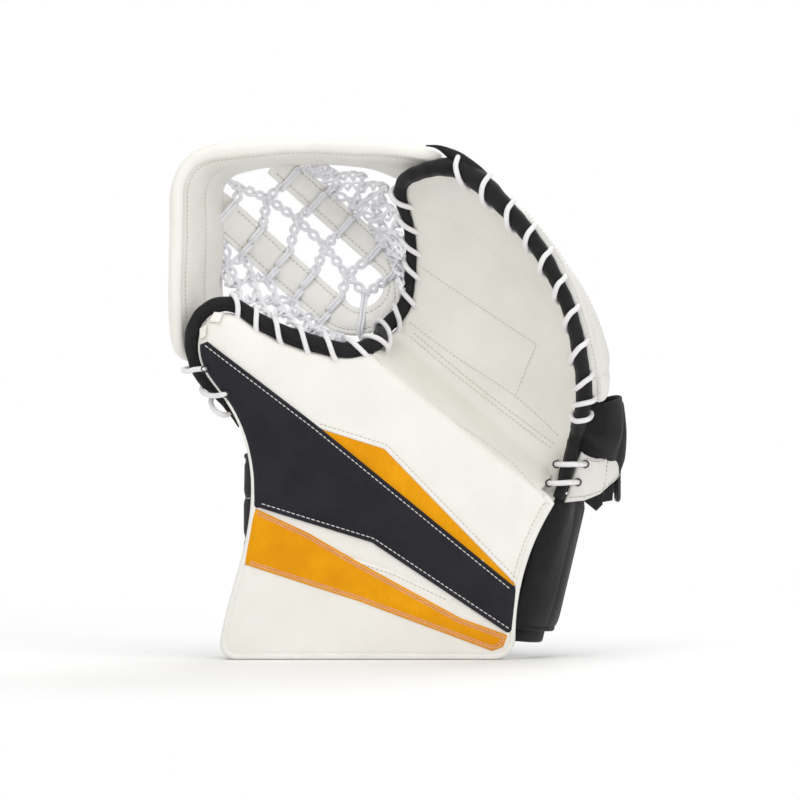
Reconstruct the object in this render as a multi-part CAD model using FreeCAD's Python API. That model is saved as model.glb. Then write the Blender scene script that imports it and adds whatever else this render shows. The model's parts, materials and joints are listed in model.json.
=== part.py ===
"""Goalie catch glove, worn on the left hand, seen from its palm along +Y.

Frame: millimetres, +X to the finger side, +Y from the palm to the back of the hand, +Z up from the cuff.
The origin is the middle of the cuff's flat bottom edge.

The glove is an open book. Its spine is the fold axis, which runs from the heel of the palm up to the
corner of the perimeter band. The thumb half (cuff, thumb and half of the T web) is the fixed page, and the
finger half turns about the spine. Points on the pages are given as (s, t, depth): s runs along the fold
axis from the heel, t across it (positive on the finger side) and depth along +Y.
"""
import FreeCAD
import Part
import math
import os

Vector = FreeCAD.Vector

# ---- driving dimensions -------------------------------------------------------------------------------
CUFF_HALF_THICKNESS = 11.0
PIPING_WIDTH = 3.0
SKIN = 1.4
BOARD = 3.0
LINING = 3.0
PANEL_THICKNESS = 1.2

HEEL_X, HEEL_Z = 141.4, 138.5       # where the fold axis leaves the heel of the palm
FOLD_ANGLE = math.radians(138.3)    # direction of the fold axis in the XZ plane
HEEL_DEPTH = 15.0                   # depth of the fold axis at the heel
FOLD_SLOPE = 0.15                   # how fast the fold axis deepens towards the pocket
FOLD_GAP = 3.0                      # clear space left on each side of the fold axis

LEATHER = 2.5
BINDING_RADIUS = 6.0
POCKET_BINDING_RADIUS = 4.5
LACE_RADIUS = 1.6
BAND_THICKNESS = 9.0
BAR_THICKNESS = 7.0
BAR_INNER, BAR_OUTER = 16.0, 39.0   # a stem bar's two edges, measured across the fold axis
NET_THICKNESS = 1.6
NET_GAP = 1.6
FINGER_ROOM = 31.0                  # space for the hand between palm pad and back shell
SHELL_THICKNESS = 7.0
STRAP_THICKNESS = 3.0
HEEL_BINDING_RADIUS = 5.5
HEEL_LACE_REACH = 12.0
PAD_THICKNESS = 5.6
BACK_BOARD = 2.0
HAND_PANEL = 4.0
SIDE_LINER = 5.0
STALL_RADIUS, LITTLE_RADIUS, STALL_WALL = 9.4, 8.2, 1.6
THUMB_RADIUS, THUMB_BORE = 14.0, 11.5
PAGE_EDGE = 0.97                    # where the finger page stops short of its binding
TIP_BLEND = 0.45                    # share of the page that bends to follow the pocket's edge
BAND_BOW = 3.0                      # how far the band's inner face bows
THUMB_SPLIT, FINGER_SPLIT = 0.235, 0.60     # where the band's corner piece starts and ends along it
NET_SAG = 9.0
RING_WIRE = 1.8
RING_X, RING_Y = 188.0, 50.0
STRAP_LOW, STRAP_HIGH = 117.0, 146.0
WRAP_LOW, WRAP_HIGH, WRAP_THICKNESS = 24.0, 146.0, 5.0
LOOP_PATCH, HOOK_PATCH = 1.5, 1.2
PULL_TAB = 2.0
GUARD_TOP, GUARD_BOTTOM = Vector(138, 0, 106), Vector(112, 0, 14)
GUARD_WIDTH, GUARD_FLARE = 24.0, 7.0        # the guard's reach along X at its top, and its gain to the bottom
GUARD_THICKNESS, FLAP_THICKNESS = 8.0, 2.6
ROOM = 0.4                          # clearance between neighbouring layers

BOTTOM_LEFT, BOTTOM_RIGHT = (-94.0, 0.0), (94.0, 0.0)
RIGHT_LOW, RIGHT_HIGH = (107.5, 14.5), (136.0, 112.0)
HEEL_CORNER, POCKET_CORNER = (130.5, 118.0), (4.0, 219.0)
THUMB_INNER, THUMB_OUTER = (-91.0, 246.5), (-119.5, 228.5)
LEFT_LOW = (-103.5, 11.0)
THUMB_POCKET_EDGE = [POCKET_CORNER, (-47, 222.5), THUMB_INNER]
THUMB_TIP_EDGE = [THUMB_INNER, (-109, 246.5), THUMB_OUTER]
LEFT_EDGE = [THUMB_OUTER, (-116, 209), (-101, 188), (-84, 150), (-81, 117), (-86, 81), (-96, 44), LEFT_LOW]

os.makedirs("parts", exist_ok=True)


# ---- helpers ------------------------------------------------------------------------------------------
def save(name, *solids):
    """Writes one node: a single solid, or a group of separate solids."""
    shape = solids[0] if len(solids) == 1 else Part.makeCompound(list(solids))
    shape.exportStep("parts/" + name + ".step")


def page(s, t, depth):
    """The point at s along the fold axis, t across it, at a depth."""
    x = HEEL_X + s * math.cos(FOLD_ANGLE) + t * math.sin(FOLD_ANGLE)
    z = HEEL_Z + s * math.sin(FOLD_ANGLE) - t * math.cos(FOLD_ANGLE)
    return Vector(x, depth, z)


def fold_depth(s):
    return HEEL_DEPTH + FOLD_SLOPE * s


def through(points):
    """A smooth curve through points, as a function of 0 to 1."""
    curve = Part.BSplineCurve()
    curve.interpolate([Vector(*p) for p in points])
    first, last = curve.FirstParameter, curve.LastParameter
    return lambda share: curve.value(first + share * (last - first))


def path_wire(points):
    curve = Part.BSplineCurve()
    curve.interpolate(points)
    return Part.Wire([curve.toShape()])


def steps(first, last, count):
    return [first + (last - first) * i / (count - 1) for i in range(count)]


def sheet(front, back):
    """A closed solid between two grids of points of the same size."""
    faces = []
    corners = []
    for grid in (front, back):
        surface = Part.BSplineSurface()
        surface.interpolate(grid)
        faces.append(surface.toShape())
        u0, u1, v0, v1 = surface.bounds()
        corners.append([surface.uIso(u0), surface.uIso(u1), surface.vIso(v0), surface.vIso(v1)])
    for near, far in zip(*corners):
        faces.append(near.makeRuledSurface(far).toShape())
    shell = Part.makeShell(faces)
    shell.sewShape()
    solid = Part.makeSolid(Part.Shell(shell.Faces))
    if solid.Volume < 0:
        solid.reverse()
    return solid


def grid_of(point, us, vs):
    return [[point(u, v) for v in vs] for u in us]


def normal_at(point, u, v, side=1.0, step=1e-3):
    """Unit normal of a point(u, v) surface by central differences."""
    along = point(u + step, v) - point(u - step, v)
    across = point(u, v + step) - point(u, v - step)
    normal = along.cross(across)
    normal.normalize()
    return normal * side


def thick_sheet(point, us, vs, near, far, side=1.0):
    """A sheet between two offsets of point(u, v); near and far are numbers or functions of (u, v)."""
    def offset(amount):
        def placed(u, v):
            height = amount(u, v) if callable(amount) else amount
            return point(u, v) + normal_at(point, u, v, side) * height
        return placed
    return sheet(grid_of(offset(near), us, vs), grid_of(offset(far), us, vs))


def tube(points, radius):
    """A round roll swept along a smooth curve through points."""
    wire = path_wire(points)
    start = wire.Edges[0].firstVertex().Point
    tangent = points[1] - points[0]
    circle = Part.Wire([Part.Circle(start, tangent, radius).toShape()])
    return wire.makePipeShell([circle], True, True)


def loop(centre, tangent, outward, radius, spread):
    """One turn of lace over a roll: a part ring about tangent, centred on the outward direction."""
    axis = Vector(tangent)
    axis.normalize()
    x = outward - axis * outward.dot(axis)
    x.normalize()
    y = axis.cross(x)
    half = spread / 2
    ring = Part.makeTorus(radius, LACE_RADIUS, Vector(0, 0, 0), Vector(0, 0, 1), 0, 360, spread)
    ring.rotate(Vector(0, 0, 0), Vector(0, 0, 1), -half)
    matrix = FreeCAD.Matrix(x.x, y.x, axis.x, centre.x, x.y, y.y, axis.y, centre.y,
                            x.z, y.z, axis.z, centre.z)
    return ring.transformGeometry(matrix)


def plate(outline, front, back):
    """A flat outline in XZ, extruded from one depth to another."""
    face = Part.Face(outline)
    face.translate(Vector(0, front, 0))
    return face.extrude(Vector(0, back - front, 0))


def polygon(points):
    closed = [Vector(x, 0, z) for x, z in points]
    return Part.makePolygon(closed + closed[:1])


# ---- cuff and thumb -----------------------------------------------------------------------------------
def spline_edge(points):
    curve = Part.BSplineCurve()
    curve.interpolate([Vector(x, 0, z) for x, z in points])
    return curve.toShape()


def flattened(wire):
    """The same outline, drawn again exactly in the XZ plane: an offset wire strays a little from it."""
    runs = [[Vector(p.x, 0, p.z) for p in edge.discretize(9)] for edge in wire.OrderedEdges]
    if min((runs[0][-1] - p).Length for p in (runs[1][0], runs[1][-1])) > ROOM:
        runs[0].reverse()
    for before, run in zip(runs, runs[1:]):
        if (run[0] - before[-1]).Length > (run[-1] - before[-1]).Length:
            run.reverse()
        run[0] = before[-1]
    runs[-1][-1] = runs[0][0]
    return Part.Wire([spline_edge([(p.x, p.z) for p in run]) for run in runs])


def cuff_outline(inset):
    """The cuff and thumb board's outline, anticlockwise from the bottom edge, drawn in by inset."""
    edges = [
        Part.makeLine(Vector(BOTTOM_LEFT[0], 0, 0), Vector(BOTTOM_RIGHT[0], 0, 0)),
        spline_edge([BOTTOM_RIGHT, (103.5, 4.2), RIGHT_LOW]),
        spline_edge([RIGHT_LOW, (113, 59), RIGHT_HIGH]),
        spline_edge([RIGHT_HIGH, HEEL_CORNER]),
        spline_edge([HEEL_CORNER, POCKET_CORNER]),
        spline_edge(THUMB_POCKET_EDGE),
        spline_edge(THUMB_TIP_EDGE),
        spline_edge(LEFT_EDGE),
        spline_edge([LEFT_LOW, (-101, 3.2), BOTTOM_LEFT]),
    ]
    wire = Part.Wire(edges)
    return wire if inset == 0 else flattened(wire.makeOffset2D(-inset, 2))


def beside(edge, share, distance, depth):
    """A point outside one edge of the outline, at a share of its length."""
    curve = through([(x, 0, z) for x, z in edge])
    along = curve(share + 0.01) - curve(share - 0.01)
    outward = Vector(along.z, 0, -along.x)
    outward.normalize()
    return curve(share) + outward * distance + Vector(0, depth, 0)


def build_cuff():
    front, back = -CUFF_HALF_THICKNESS, CUFF_HALF_THICKNESS
    outer, inner = cuff_outline(0), cuff_outline(PIPING_WIDTH)
    save("edge_piping", plate(outer, front, back).cut(plate(inner, front - 1, back + 1)))
    save("cuff_skin", plate(cuff_outline(PIPING_WIDTH + ROOM), front, front + SKIN))
    board_back = front + SKIN + BOARD
    save("cuff_board", plate(cuff_outline(2 * PIPING_WIDTH), front + SKIN, board_back))
    save("cuff_foam", plate(cuff_outline(PIPING_WIDTH + ROOM), board_back, back - LINING))
    save("cuff_lining", plate(cuff_outline(PIPING_WIDTH + ROOM), back - LINING, back))


def build_graphics():
    """Sewn overlay panels on the cuff's skin."""
    bounds = plate(cuff_outline(PIPING_WIDTH + ROOM), -30, 0)
    front = -CUFF_HALF_THICKNESS
    black = [(-119.6, 229.8), (-36, 166), (109.5, 47), (107, 20), (103, 18), (5, 83.5), (-81, 110), (-110, 112),
             (-130, 200)]
    wedge = [(-34, 166), (14, 151), (108.5, 53.5), (109.5, 48.4), (-33.4, 165.2)]
    band = [(-81, 109), (-40, 90), (-4, 69), (69, 29), (103, 16.5), (100, 8), (92, 5), (-4, 41), (-88, 68),
            (-110, 78), (-100, 120)]
    for name, points in (("black_panel", black), ("yellow_wedge", wedge), ("yellow_band", band)):
        save(name, plate(polygon(points), front - PANEL_THICKNESS, front).common(bounds))


def thumb_binding_path():
    """Middle of the roll round the thumb, just outside the board's edge, from the pocket to the wrist side."""
    places = [(THUMB_POCKET_EDGE, 0.06, 7), (THUMB_POCKET_EDGE, 0.3, 2), (THUMB_POCKET_EDGE, 0.6, 0),
              (THUMB_POCKET_EDGE, 0.93, -1), (THUMB_TIP_EDGE, 0.3, -2), (THUMB_TIP_EDGE, 0.7, -1),
              (LEFT_EDGE, 0.02, 0), (LEFT_EDGE, 0.1, 0), (LEFT_EDGE, 0.2, 1), (LEFT_EDGE, 0.3, 3)]
    return [beside(edge, share, BINDING_RADIUS + 4 * ROOM, depth) for edge, share, depth in places]


def build_thumb_binding():
    path = thumb_binding_path()
    save("thumb_edge_binding", tube(path, BINDING_RADIUS))
    curve = through([tuple(p) for p in path])
    middle = Vector(-60, 0, 150)
    laces = []
    for share in (0.035, 0.1, 0.17, 0.24, 0.31, 0.38, 0.74, 0.83, 0.93):
        centre = curve(share)
        tangent = curve(share + 0.01) - curve(share - 0.01)
        laces.append(loop(centre, tangent, centre - middle, BINDING_RADIUS + LACE_RADIUS + 0.1, 170))
    save("thumb_lace", *laces)


def palm_thumb_point(u, v):
    """Palm leather on the thumb side: u along the fold from the heel, v from the cuff's edge to the fold."""
    s = -1 + 157 * u
    outer_t = -20.9 - 8.9 * u
    t = outer_t + (-FOLD_GAP - outer_t) * v
    rim = -7.5
    depth = rim + (fold_depth(s) - rim) * math.sin(v * math.pi / 2) ** 1.3
    return page(s, t, depth)


def build_palm_thumb():
    sheet_solid = thick_sheet(palm_thumb_point, steps(0, 1, 8), steps(0.02, 1, 8), ROOM, LEATHER)
    save("palm_thumb_side", sheet_solid)


def build_thumb_stall():
    """A padded sleeve for the thumb, behind the board."""
    path = [Vector(*p) for p in [(10, 31, 150), (-25, 30, 175), (-62, 28, 200), (-92, 26, 222)]]
    short = [Vector(*p) for p in [(12, 31.1, 148.6), (-25, 30, 175), (-62, 28, 200), (-84, 26.6, 216)]]
    save("thumb_stall", tube(path, THUMB_RADIUS).cut(tube(short, THUMB_BORE)))


# ---- finger half --------------------------------------------------------------------------------------
# Edge of the finger page, as (s, depth, t) at the inner side of its binding, from the heel to the fingertips
FINGER_RIM = through([(-7, 8, 4), (8, -4, 24), (26, -17, 43), (66, -36, 70), (105, -43, 88), (155, -46, 102),
                      (192, -43, 104), (209, -40, 97)])
# Edge of the finger page along the pocket, as (x, depth, z), from the fold round the blunt tip to the rim
POCKET_EDGE = through([(27, 37, 246), (33, 32, 264), (36, 20, 292), (32, 5, 320), (28, -8, 338), (33, -20, 346),
                       (42, -31, 349), (50, -40, 350)])


def smooth(share):
    share = min(max(share, 0.0), 1.0)
    return share * share * (3 - 2 * share)


def cupped_point(b, q):
    """The finger page as a plain cupped sheet: b from heel to fingertip, q from the fold to the rim."""
    rim = FINGER_RIM(b)
    s0 = 4 + 152 * b
    turn = q * math.pi / 2
    reach = math.sin(turn)
    s = s0 + (rim.x - s0) * (1 - (1 - min(reach, 1.0)) ** 1.5)
    t = FOLD_GAP + (rim.z - FOLD_GAP) * reach
    depth = rim.y + (fold_depth(s0) - rim.y) * math.cos(turn)
    return page(s, t, depth)


def finger_point(b, q):
    """Palm side of the finger page: the cupped sheet, drawn to the pocket's edge near the fingertips."""
    pull = POCKET_EDGE(q) - cupped_point(1.0, q)
    return cupped_point(b, q) + pull * smooth((b - 1 + TIP_BLEND) / TIP_BLEND)


def room_at(b, q):
    """Space kept for the hand behind the palm pad, closing towards the fingertips and the rim."""
    closing = 1 - 0.62 * max(0.0, (b - 0.55) / 0.45) ** 1.6
    return 10.0 + FINGER_ROOM * closing * math.sin(math.pi * min(max(q, 0.0), 1.0)) ** 0.7


def build_finger_pages():
    along = steps(0.04, 0.985, 12)
    save("palm_finger_side", thick_sheet(finger_point, along, steps(0.03, PAGE_EDGE, 12), 0, LEATHER))
    save("palm_pad", thick_sheet(finger_point, steps(0.12, 0.93, 9), steps(0.1, 0.88, 9), LEATHER + ROOM,
                                LEATHER + ROOM + PAD_THICKNESS))

    def shell(first, last, start, stop, extra, thickness, count=9):
        def near(b, q):
            return room_at(b, q) + extra

        def far(b, q):
            return near(b, q) + thickness
        return thick_sheet(cupped_point, steps(start, stop, 11), steps(first, last, count), near, far)

    save("backhand_board", shell(0.55, 0.88, 0.2, 0.9, 0, BACK_BOARD))
    save("finger_back_shell", shell(0.5, 0.95, 0.20, 0.97, BACK_BOARD + ROOM, SHELL_THICKNESS))
    save("side_liner", shell(0.62, 0.95, 0.085, 0.19, BACK_BOARD + ROOM, SIDE_LINER))
    save("hand_back_panel", shell(0.14, 0.485, 0.16, 0.95, 1.0, HAND_PANEL))


def build_finger_stalls():
    """Hollow sleeves for the four fingers, between the palm pad and the back shell."""
    stalls = {"index_stall": (0.24, 0.30, 0.87), "middle_stall": (0.41, 0.46, 0.88),
              "ring_stall": (0.58, 0.61, 0.84), "little_stall": (0.73, 0.75, 0.74)}
    for name, (q0, q1, stop) in stalls.items():
        def centre(share):
            b, q = 0.42 + (stop - 0.42) * share, q0 + (q1 - q0) * share
            return cupped_point(b, q) + normal_at(cupped_point, b, q) * (room_at(b, q) * 0.5 + 4.6)
        radius = LITTLE_RADIUS if name == "little_stall" else STALL_RADIUS
        outer = tube([centre(x) for x in steps(0, 1, 5)], radius)
        inner = tube([centre(x) for x in steps(-0.02, 0.93, 5)], radius - STALL_WALL)
        save(name, outer.cut(inner))


def build_finger_binding():
    def centre(b):
        """The roll's middle: just beyond the rim, on the outward side."""
        outward = cupped_point(b, PAGE_EDGE) - cupped_point(b, PAGE_EDGE - 0.04)
        outward.normalize()
        return finger_point(b, PAGE_EDGE) + outward * (BINDING_RADIUS + 4 * ROOM)
    shares = [0.05, 0.09, 0.15, 0.24, 0.36, 0.48, 0.6, 0.72, 0.84, 0.93, 1.0]
    path = [centre(b) for b in shares]
    save("finger_edge_binding", tube(path, BINDING_RADIUS))
    curve = through([tuple(p) for p in path])
    laces = []
    for share in steps(0.07, 0.93, 14):
        place = curve(share)
        tangent = curve(share + 0.01) - curve(share - 0.01)
        inner = page(90, 30, 20)
        laces.append(loop(place, tangent, place - inner, BINDING_RADIUS + LACE_RADIUS + 0.1, 150))
    save("finger_lace", *laces)


def build_pocket_binding():
    """Black roll along the pocket's edge of the finger page."""
    points = []
    for q in (0.04, 0.16, 0.28, 0.4, 0.52, 0.62, 0.7, 0.78, 0.86):
        end = finger_point(0.99, q)
        before = finger_point(0.95, q)
        beyond = end - before
        beyond.normalize()
        points.append(end + beyond * (POCKET_BINDING_RADIUS + 1.2))
    save("pocket_edge_binding", tube(points, POCKET_BINDING_RADIUS))


# ---- T web: perimeter band, stem bars and nets --------------------------------------------------------
BAND_RIM = through([(-135, 2, 232), (-135, -2, 252), (-134.5, -6, 281), (-134, -8, 324), (-131, -9, 347),
                    (-122, -10, 358), (-110, -11, 361.5), (-88, -12, 364), (-47, -16, 366), (-11, -22, 365),
                    (25, -31, 363), (46, -36, 360)])
BAND_BACK = through([(-106, 40, 246), (-104, 52, 268), (-103, 60, 300), (-103, 62, 326), (-101, 62, 340),
                     (-95, 62, 347), (-84, 62, 351), (-68, 61, 354), (-42, 56, 355), (-14, 46, 353),
                     (8, 34, 349), (24, 22, 344)])


def band_point(c, w):
    """Inner face of the band: c along it from the thumb, w from the back edge to the rim."""
    back, rim = BAND_BACK(c), BAND_RIM(c)
    return back + (rim - back) * w + normal_hint(c) * (BAND_BOW * math.sin(w * math.pi))


def normal_hint(c):
    """Outward direction of the band in the XZ plane."""
    tangent = BAND_RIM(min(c + 0.02, 1)) - BAND_RIM(max(c - 0.02, 0))
    outward = Vector(-tangent.z, 0, tangent.x)
    outward.normalize()
    return outward


def build_band():
    across = steps(0.0, 1.0, 6)
    parts = {"t_band_thumb": (0.01, THUMB_SPLIT, 9),
             "t_band_corner": (THUMB_SPLIT + 0.006, FINGER_SPLIT - 0.006, 14),
             "t_band_finger": (FINGER_SPLIT, 0.96, 9)}
    for name, (first, last, count) in parts.items():
        save(name, thick_sheet(band_point, steps(first, last, count), across, 0, BAND_THICKNESS, -1))


STEM_DEPTH = through([(165, 48, 0), (200, 64, 0), (240, 73, 0), (275, 71, 0), (304, 62, 0)])


def stem_point(side):
    def point(u, v):
        place = STEM_DEPTH(u)
        t = BAR_INNER + (BAR_OUTER - BAR_INNER) * v
        return page(place.x, side * t, place.y)
    return point


def build_stems():
    for name, side, first in (("t_bar_thumb", -1, 0.0), ("t_bar_finger", 1, 0.14)):
        solid = thick_sheet(stem_point(side), steps(first, 0.94, 9), steps(0, 1, 4), 0, BAR_THICKNESS, side)
        save(name, solid)


def net_between(first, second, sag):
    """A net as a thin sheet between two edge curves, sagging away from the palm."""
    def point(u, v):
        a, b = first(u), second(u)
        return a + (b - a) * v + Vector(0, sag * math.sin(math.pi * v), 0)
    return point


def build_nets():
    outer = BAR_OUTER + NET_GAP
    thumb_side = ((290, 64), (262, 71), (235, 71), (205, 63), (184, 55))
    bar_thumb = through([tuple(page(s, -outer, d)) for s, d in thumb_side])
    thumb_edge = through([(-98, 49, 272), (-86, 22, 258), (-64, 14, 247), (-38, 17, 239), (-16, 24, 233)])
    thumb_net = net_between(bar_thumb, thumb_edge, NET_SAG)
    save("net_thumb", thick_sheet(thumb_net, steps(0, 1, 8), steps(0.03, 0.97, 6), 0, NET_THICKNESS, 1))
    finger_side = ((284, 67), (262, 71), (235, 71), (212, 67), (200, 62))
    bar_finger = through([tuple(page(s, outer, d)) for s, d in finger_side])
    finger_edge = through([(-28, 51, 347), (4, 34, 343), (17, 16, 332), (17, 14, 305), (17.5, 26, 284)])
    finger_net = net_between(bar_finger, finger_edge, NET_SAG)
    save("net_finger", thick_sheet(finger_net, steps(0, 1, 9), steps(0.03, 0.95, 6), 0, NET_THICKNESS, -1))
    inner = BAR_INNER - NET_GAP

    def slot(u, v):
        place = STEM_DEPTH(0.16 + 0.74 * u)
        return page(place.x, -inner + 2 * inner * v, place.y + 2)
    save("net_slot", thick_sheet(slot, steps(0, 1, 8), steps(0, 1, 4), 0, NET_THICKNESS, -1))


# ---- wrist --------------------------------------------------------------------------------------------
def ribbon(points, low, high, thickness):
    """A strap standing on edge: a smooth XY line, thickened away from its left side, from low to high."""
    curve = through([(x, y, 0) for x, y in points])

    def point(u, v):
        place = curve(u)
        return Vector(place.x, place.y, low + (high - low) * v)
    return thick_sheet(point, steps(0, 1, 9), steps(0, 1, 4), 0, thickness, 1)


def guard_point(u, v):
    """Inner face of the wrist guard: u from its top to its bottom, v from its seam round to the back."""
    seam = GUARD_TOP + (GUARD_BOTTOM - GUARD_TOP) * u
    turn = v * math.pi / 2
    width = GUARD_WIDTH + GUARD_FLARE * u
    return seam + Vector(width * math.sin(turn), 14 + 44 * (1 - math.cos(turn)), -6 * math.sin(turn))


def build_wrist():
    save("wrist_wrap", ribbon([(-66, 14), (-84, 34), (-76, 60), (-46, 76), (0, 82), (50, 82)], WRAP_LOW, WRAP_HIGH,
                             WRAP_THICKNESS))
    save("wrist_loop_patch", ribbon([(-20, 87.8), (14, 88.7), (48, 88.6)], STRAP_LOW - 5, STRAP_HIGH - 2,
                                    LOOP_PATCH))
    save("heel_tab", ribbon([(160, 12.5), (169, 16), (179, 25), (185, 42)], STRAP_LOW - 2, STRAP_HIGH,
                            STRAP_THICKNESS))
    heel_roll = [Vector(154, 10, 142), Vector(149, 8.5, 132), Vector(146, 8, 122), Vector(144, 8, 113)]
    save("heel_binding", tube(heel_roll, HEEL_BINDING_RADIUS))
    laces = []
    for place in (heel_roll[1], heel_roll[2]):
        laces.append(loop(place, Vector(0.2, 0, 1), Vector(0, -1, 0), HEEL_LACE_REACH, 140))
    save("heel_lace", *laces)
    save("wrist_guard", thick_sheet(guard_point, steps(0, 1, 7), steps(0, 1, 7), 0, GUARD_THICKNESS, 1))
    flap = GUARD_THICKNESS + ROOM
    save("guard_flap", thick_sheet(guard_point, steps(0.66, 1.04, 4), steps(0.12, 0.94, 6), flap,
                                   flap + FLAP_THICKNESS, 1))
    save("pull_tab", ribbon([(173, 17.5), (180, 24), (186, 36)], 92, 114, PULL_TAB))


def build_strap():
    """Wrist strap: it leaves the ring, crosses the back of the wrist, and closes on the wrap's loop patch."""
    line = [(186, 58), (178, 76), (150, 92), (100, 98), (50, 96.5), (6, 94.5), (-18, 93.5)]
    save("wrist_strap", ribbon(line, STRAP_LOW, STRAP_HIGH, STRAP_THICKNESS))
    save("wrist_hook_patch", ribbon([(-16, 91.5), (14, 92.4), (46, 92.6)], STRAP_LOW + 2, STRAP_HIGH - 2,
                                    HOOK_PATCH))


def build_ring():
    """Rectangular wire ring: one side in the heel tab's fold, the other carrying the strap."""
    low, high = STRAP_LOW - 4, STRAP_HIGH + 4
    corners = [Vector(RING_X - 2, RING_Y - 4, low), Vector(RING_X - 2, RING_Y - 4, high),
               Vector(RING_X - 3, RING_Y + 5, high), Vector(RING_X - 3, RING_Y + 5, low)]
    sides = []
    for start, end in zip(corners, corners[1:] + corners[:1]):
        sides.append(Part.makeCylinder(RING_WIRE, (end - start).Length, start, end - start))
        sides.append(Part.makeSphere(RING_WIRE, start))
    save("strap_ring", sides[0].fuse(sides[1:]).removeSplitter())


def build_hand_strap():
    """Strap over the back of the hand, sewn to the back shell's edge, closing on the hand panel."""
    def layer(first, last, start, stop, near, far, count=7):
        def low(b, q):
            return room_at(b, q) + near

        def high(b, q):
            return room_at(b, q) + far
        return thick_sheet(finger_point, steps(start, stop, 5), steps(first, last, count), low, high)
    save("hand_loop_patch", layer(0.15, 0.27, 0.40, 0.56, 5.3, 6.3, 4))
    save("hand_hook_patch", layer(0.16, 0.26, 0.41, 0.55, 6.5, 7.5, 4))
    save("hand_strap", layer(0.15, 0.475, 0.40, 0.56, 7.8, 10.2))


def main():
    build_cuff()
    build_graphics()
    build_thumb_binding()
    build_palm_thumb()
    build_thumb_stall()
    build_finger_pages()
    build_finger_stalls()
    build_finger_binding()
    build_pocket_binding()
    build_band()
    build_stems()
    build_nets()
    build_wrist()
    build_strap()
    build_ring()
    build_hand_strap()


main()
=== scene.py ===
import json
import math

import bpy
import numpy as np
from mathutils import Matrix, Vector
from mathutils.bvhtree import BVHTree
from mathutils.geometry import delaunay_2d_cdt
from mathutils.kdtree import KDTree


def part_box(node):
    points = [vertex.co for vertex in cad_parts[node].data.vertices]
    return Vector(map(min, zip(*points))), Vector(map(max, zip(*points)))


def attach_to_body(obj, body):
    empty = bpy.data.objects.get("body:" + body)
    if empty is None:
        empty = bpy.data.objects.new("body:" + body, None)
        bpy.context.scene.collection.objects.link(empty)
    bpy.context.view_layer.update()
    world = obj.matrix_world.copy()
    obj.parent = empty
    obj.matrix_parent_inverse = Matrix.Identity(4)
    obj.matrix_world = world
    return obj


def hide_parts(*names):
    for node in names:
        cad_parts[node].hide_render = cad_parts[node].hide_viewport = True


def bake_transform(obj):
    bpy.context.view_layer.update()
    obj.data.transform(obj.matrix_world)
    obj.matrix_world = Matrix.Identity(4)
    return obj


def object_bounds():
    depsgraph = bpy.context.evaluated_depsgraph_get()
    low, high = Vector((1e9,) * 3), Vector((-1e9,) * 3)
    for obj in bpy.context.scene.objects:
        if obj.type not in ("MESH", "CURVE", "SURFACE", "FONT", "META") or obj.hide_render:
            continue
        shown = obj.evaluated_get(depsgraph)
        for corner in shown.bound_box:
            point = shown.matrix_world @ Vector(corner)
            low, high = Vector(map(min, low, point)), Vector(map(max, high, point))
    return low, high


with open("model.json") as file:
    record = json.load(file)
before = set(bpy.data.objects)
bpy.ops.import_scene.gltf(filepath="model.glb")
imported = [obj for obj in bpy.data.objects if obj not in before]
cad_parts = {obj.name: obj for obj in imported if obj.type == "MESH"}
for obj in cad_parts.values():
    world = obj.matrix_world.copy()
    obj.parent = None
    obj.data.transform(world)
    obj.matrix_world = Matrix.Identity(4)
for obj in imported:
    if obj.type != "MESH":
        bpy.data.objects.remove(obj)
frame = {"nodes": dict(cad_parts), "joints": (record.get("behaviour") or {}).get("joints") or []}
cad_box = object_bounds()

# All sizes and places below are in millimetres, in the row's frame: +X to the finger side, +Y from the palm
# to the back of the hand, +Z up. MM turns them into Blender's metres when a mesh is made.
MM = 0.001
LACE_RADIUS = 1.95
CORD_RADIUS = 1.35
BINDING_RADIUS = 6.2
STITCH_LENGTH = 2.6
STITCH_PITCH = 3.7
rng = np.random.default_rng(7)


# ---- curves and surfaces ------------------------------------------------------------------------------
def unit(v):
    return v / np.maximum(np.linalg.norm(v, axis=-1, keepdims=True), 1e-9)


def smooth(x):
    x = np.clip(x, 0, 1)
    return x * x * (3 - 2 * x)


def bump(x, width):
    return np.exp(-(x / width) ** 2)


def spline(points):
    """A natural cubic spline through points, as a function of a share from 0 to 1 of its chord length."""
    p = np.array(points, float)
    gaps = np.linalg.norm(np.diff(p, axis=0), axis=1)
    knots = np.concatenate([[0], np.cumsum(gaps)]) / gaps.sum()
    h = np.diff(knots)
    system, right = np.eye(len(p)), np.zeros_like(p)
    for i in range(1, len(p) - 1):
        system[i, i - 1:i + 2] = h[i - 1], 2 * (h[i - 1] + h[i]), h[i]
        right[i] = 6 * ((p[i + 1] - p[i]) / h[i] - (p[i] - p[i - 1]) / h[i - 1])
    second = np.linalg.solve(system, right)

    def at(share):
        share = np.asarray(share, float)
        i = np.clip(np.searchsorted(knots, share, side="right") - 1, 0, len(p) - 2)
        a, b, step = (knots[i + 1] - share) / h[i], (share - knots[i]) / h[i], h[i]
        a, b, step = a[..., None], b[..., None], step[..., None]
        bend = ((a ** 3 - a) * second[i] + (b ** 3 - b) * second[i + 1]) * step * step / 6
        return a * p[i] + b * p[i + 1] + bend
    return at


def resample(points, spacing, closed=False):
    """Points at an even spacing along a polyline."""
    p = np.array(points, float)
    if closed:
        p = np.vstack([p, p[:1]])
    run = np.concatenate([[0], np.cumsum(np.linalg.norm(np.diff(p, axis=0), axis=1))])
    count = max(int(round(run[-1] / spacing)), 2)
    at = np.linspace(0, run[-1], count + 1)
    out = np.stack([np.interp(at, run, p[:, k]) for k in range(p.shape[1])], axis=1)
    return out[:-1] if closed else out


def run_length(points):
    return np.concatenate([[0], np.cumsum(np.linalg.norm(np.diff(points, axis=0), axis=1))])


def grid_normals(grid):
    du = np.gradient(grid, axis=0)
    dv = np.gradient(grid, axis=1)
    return unit(np.cross(du, dv))


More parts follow.
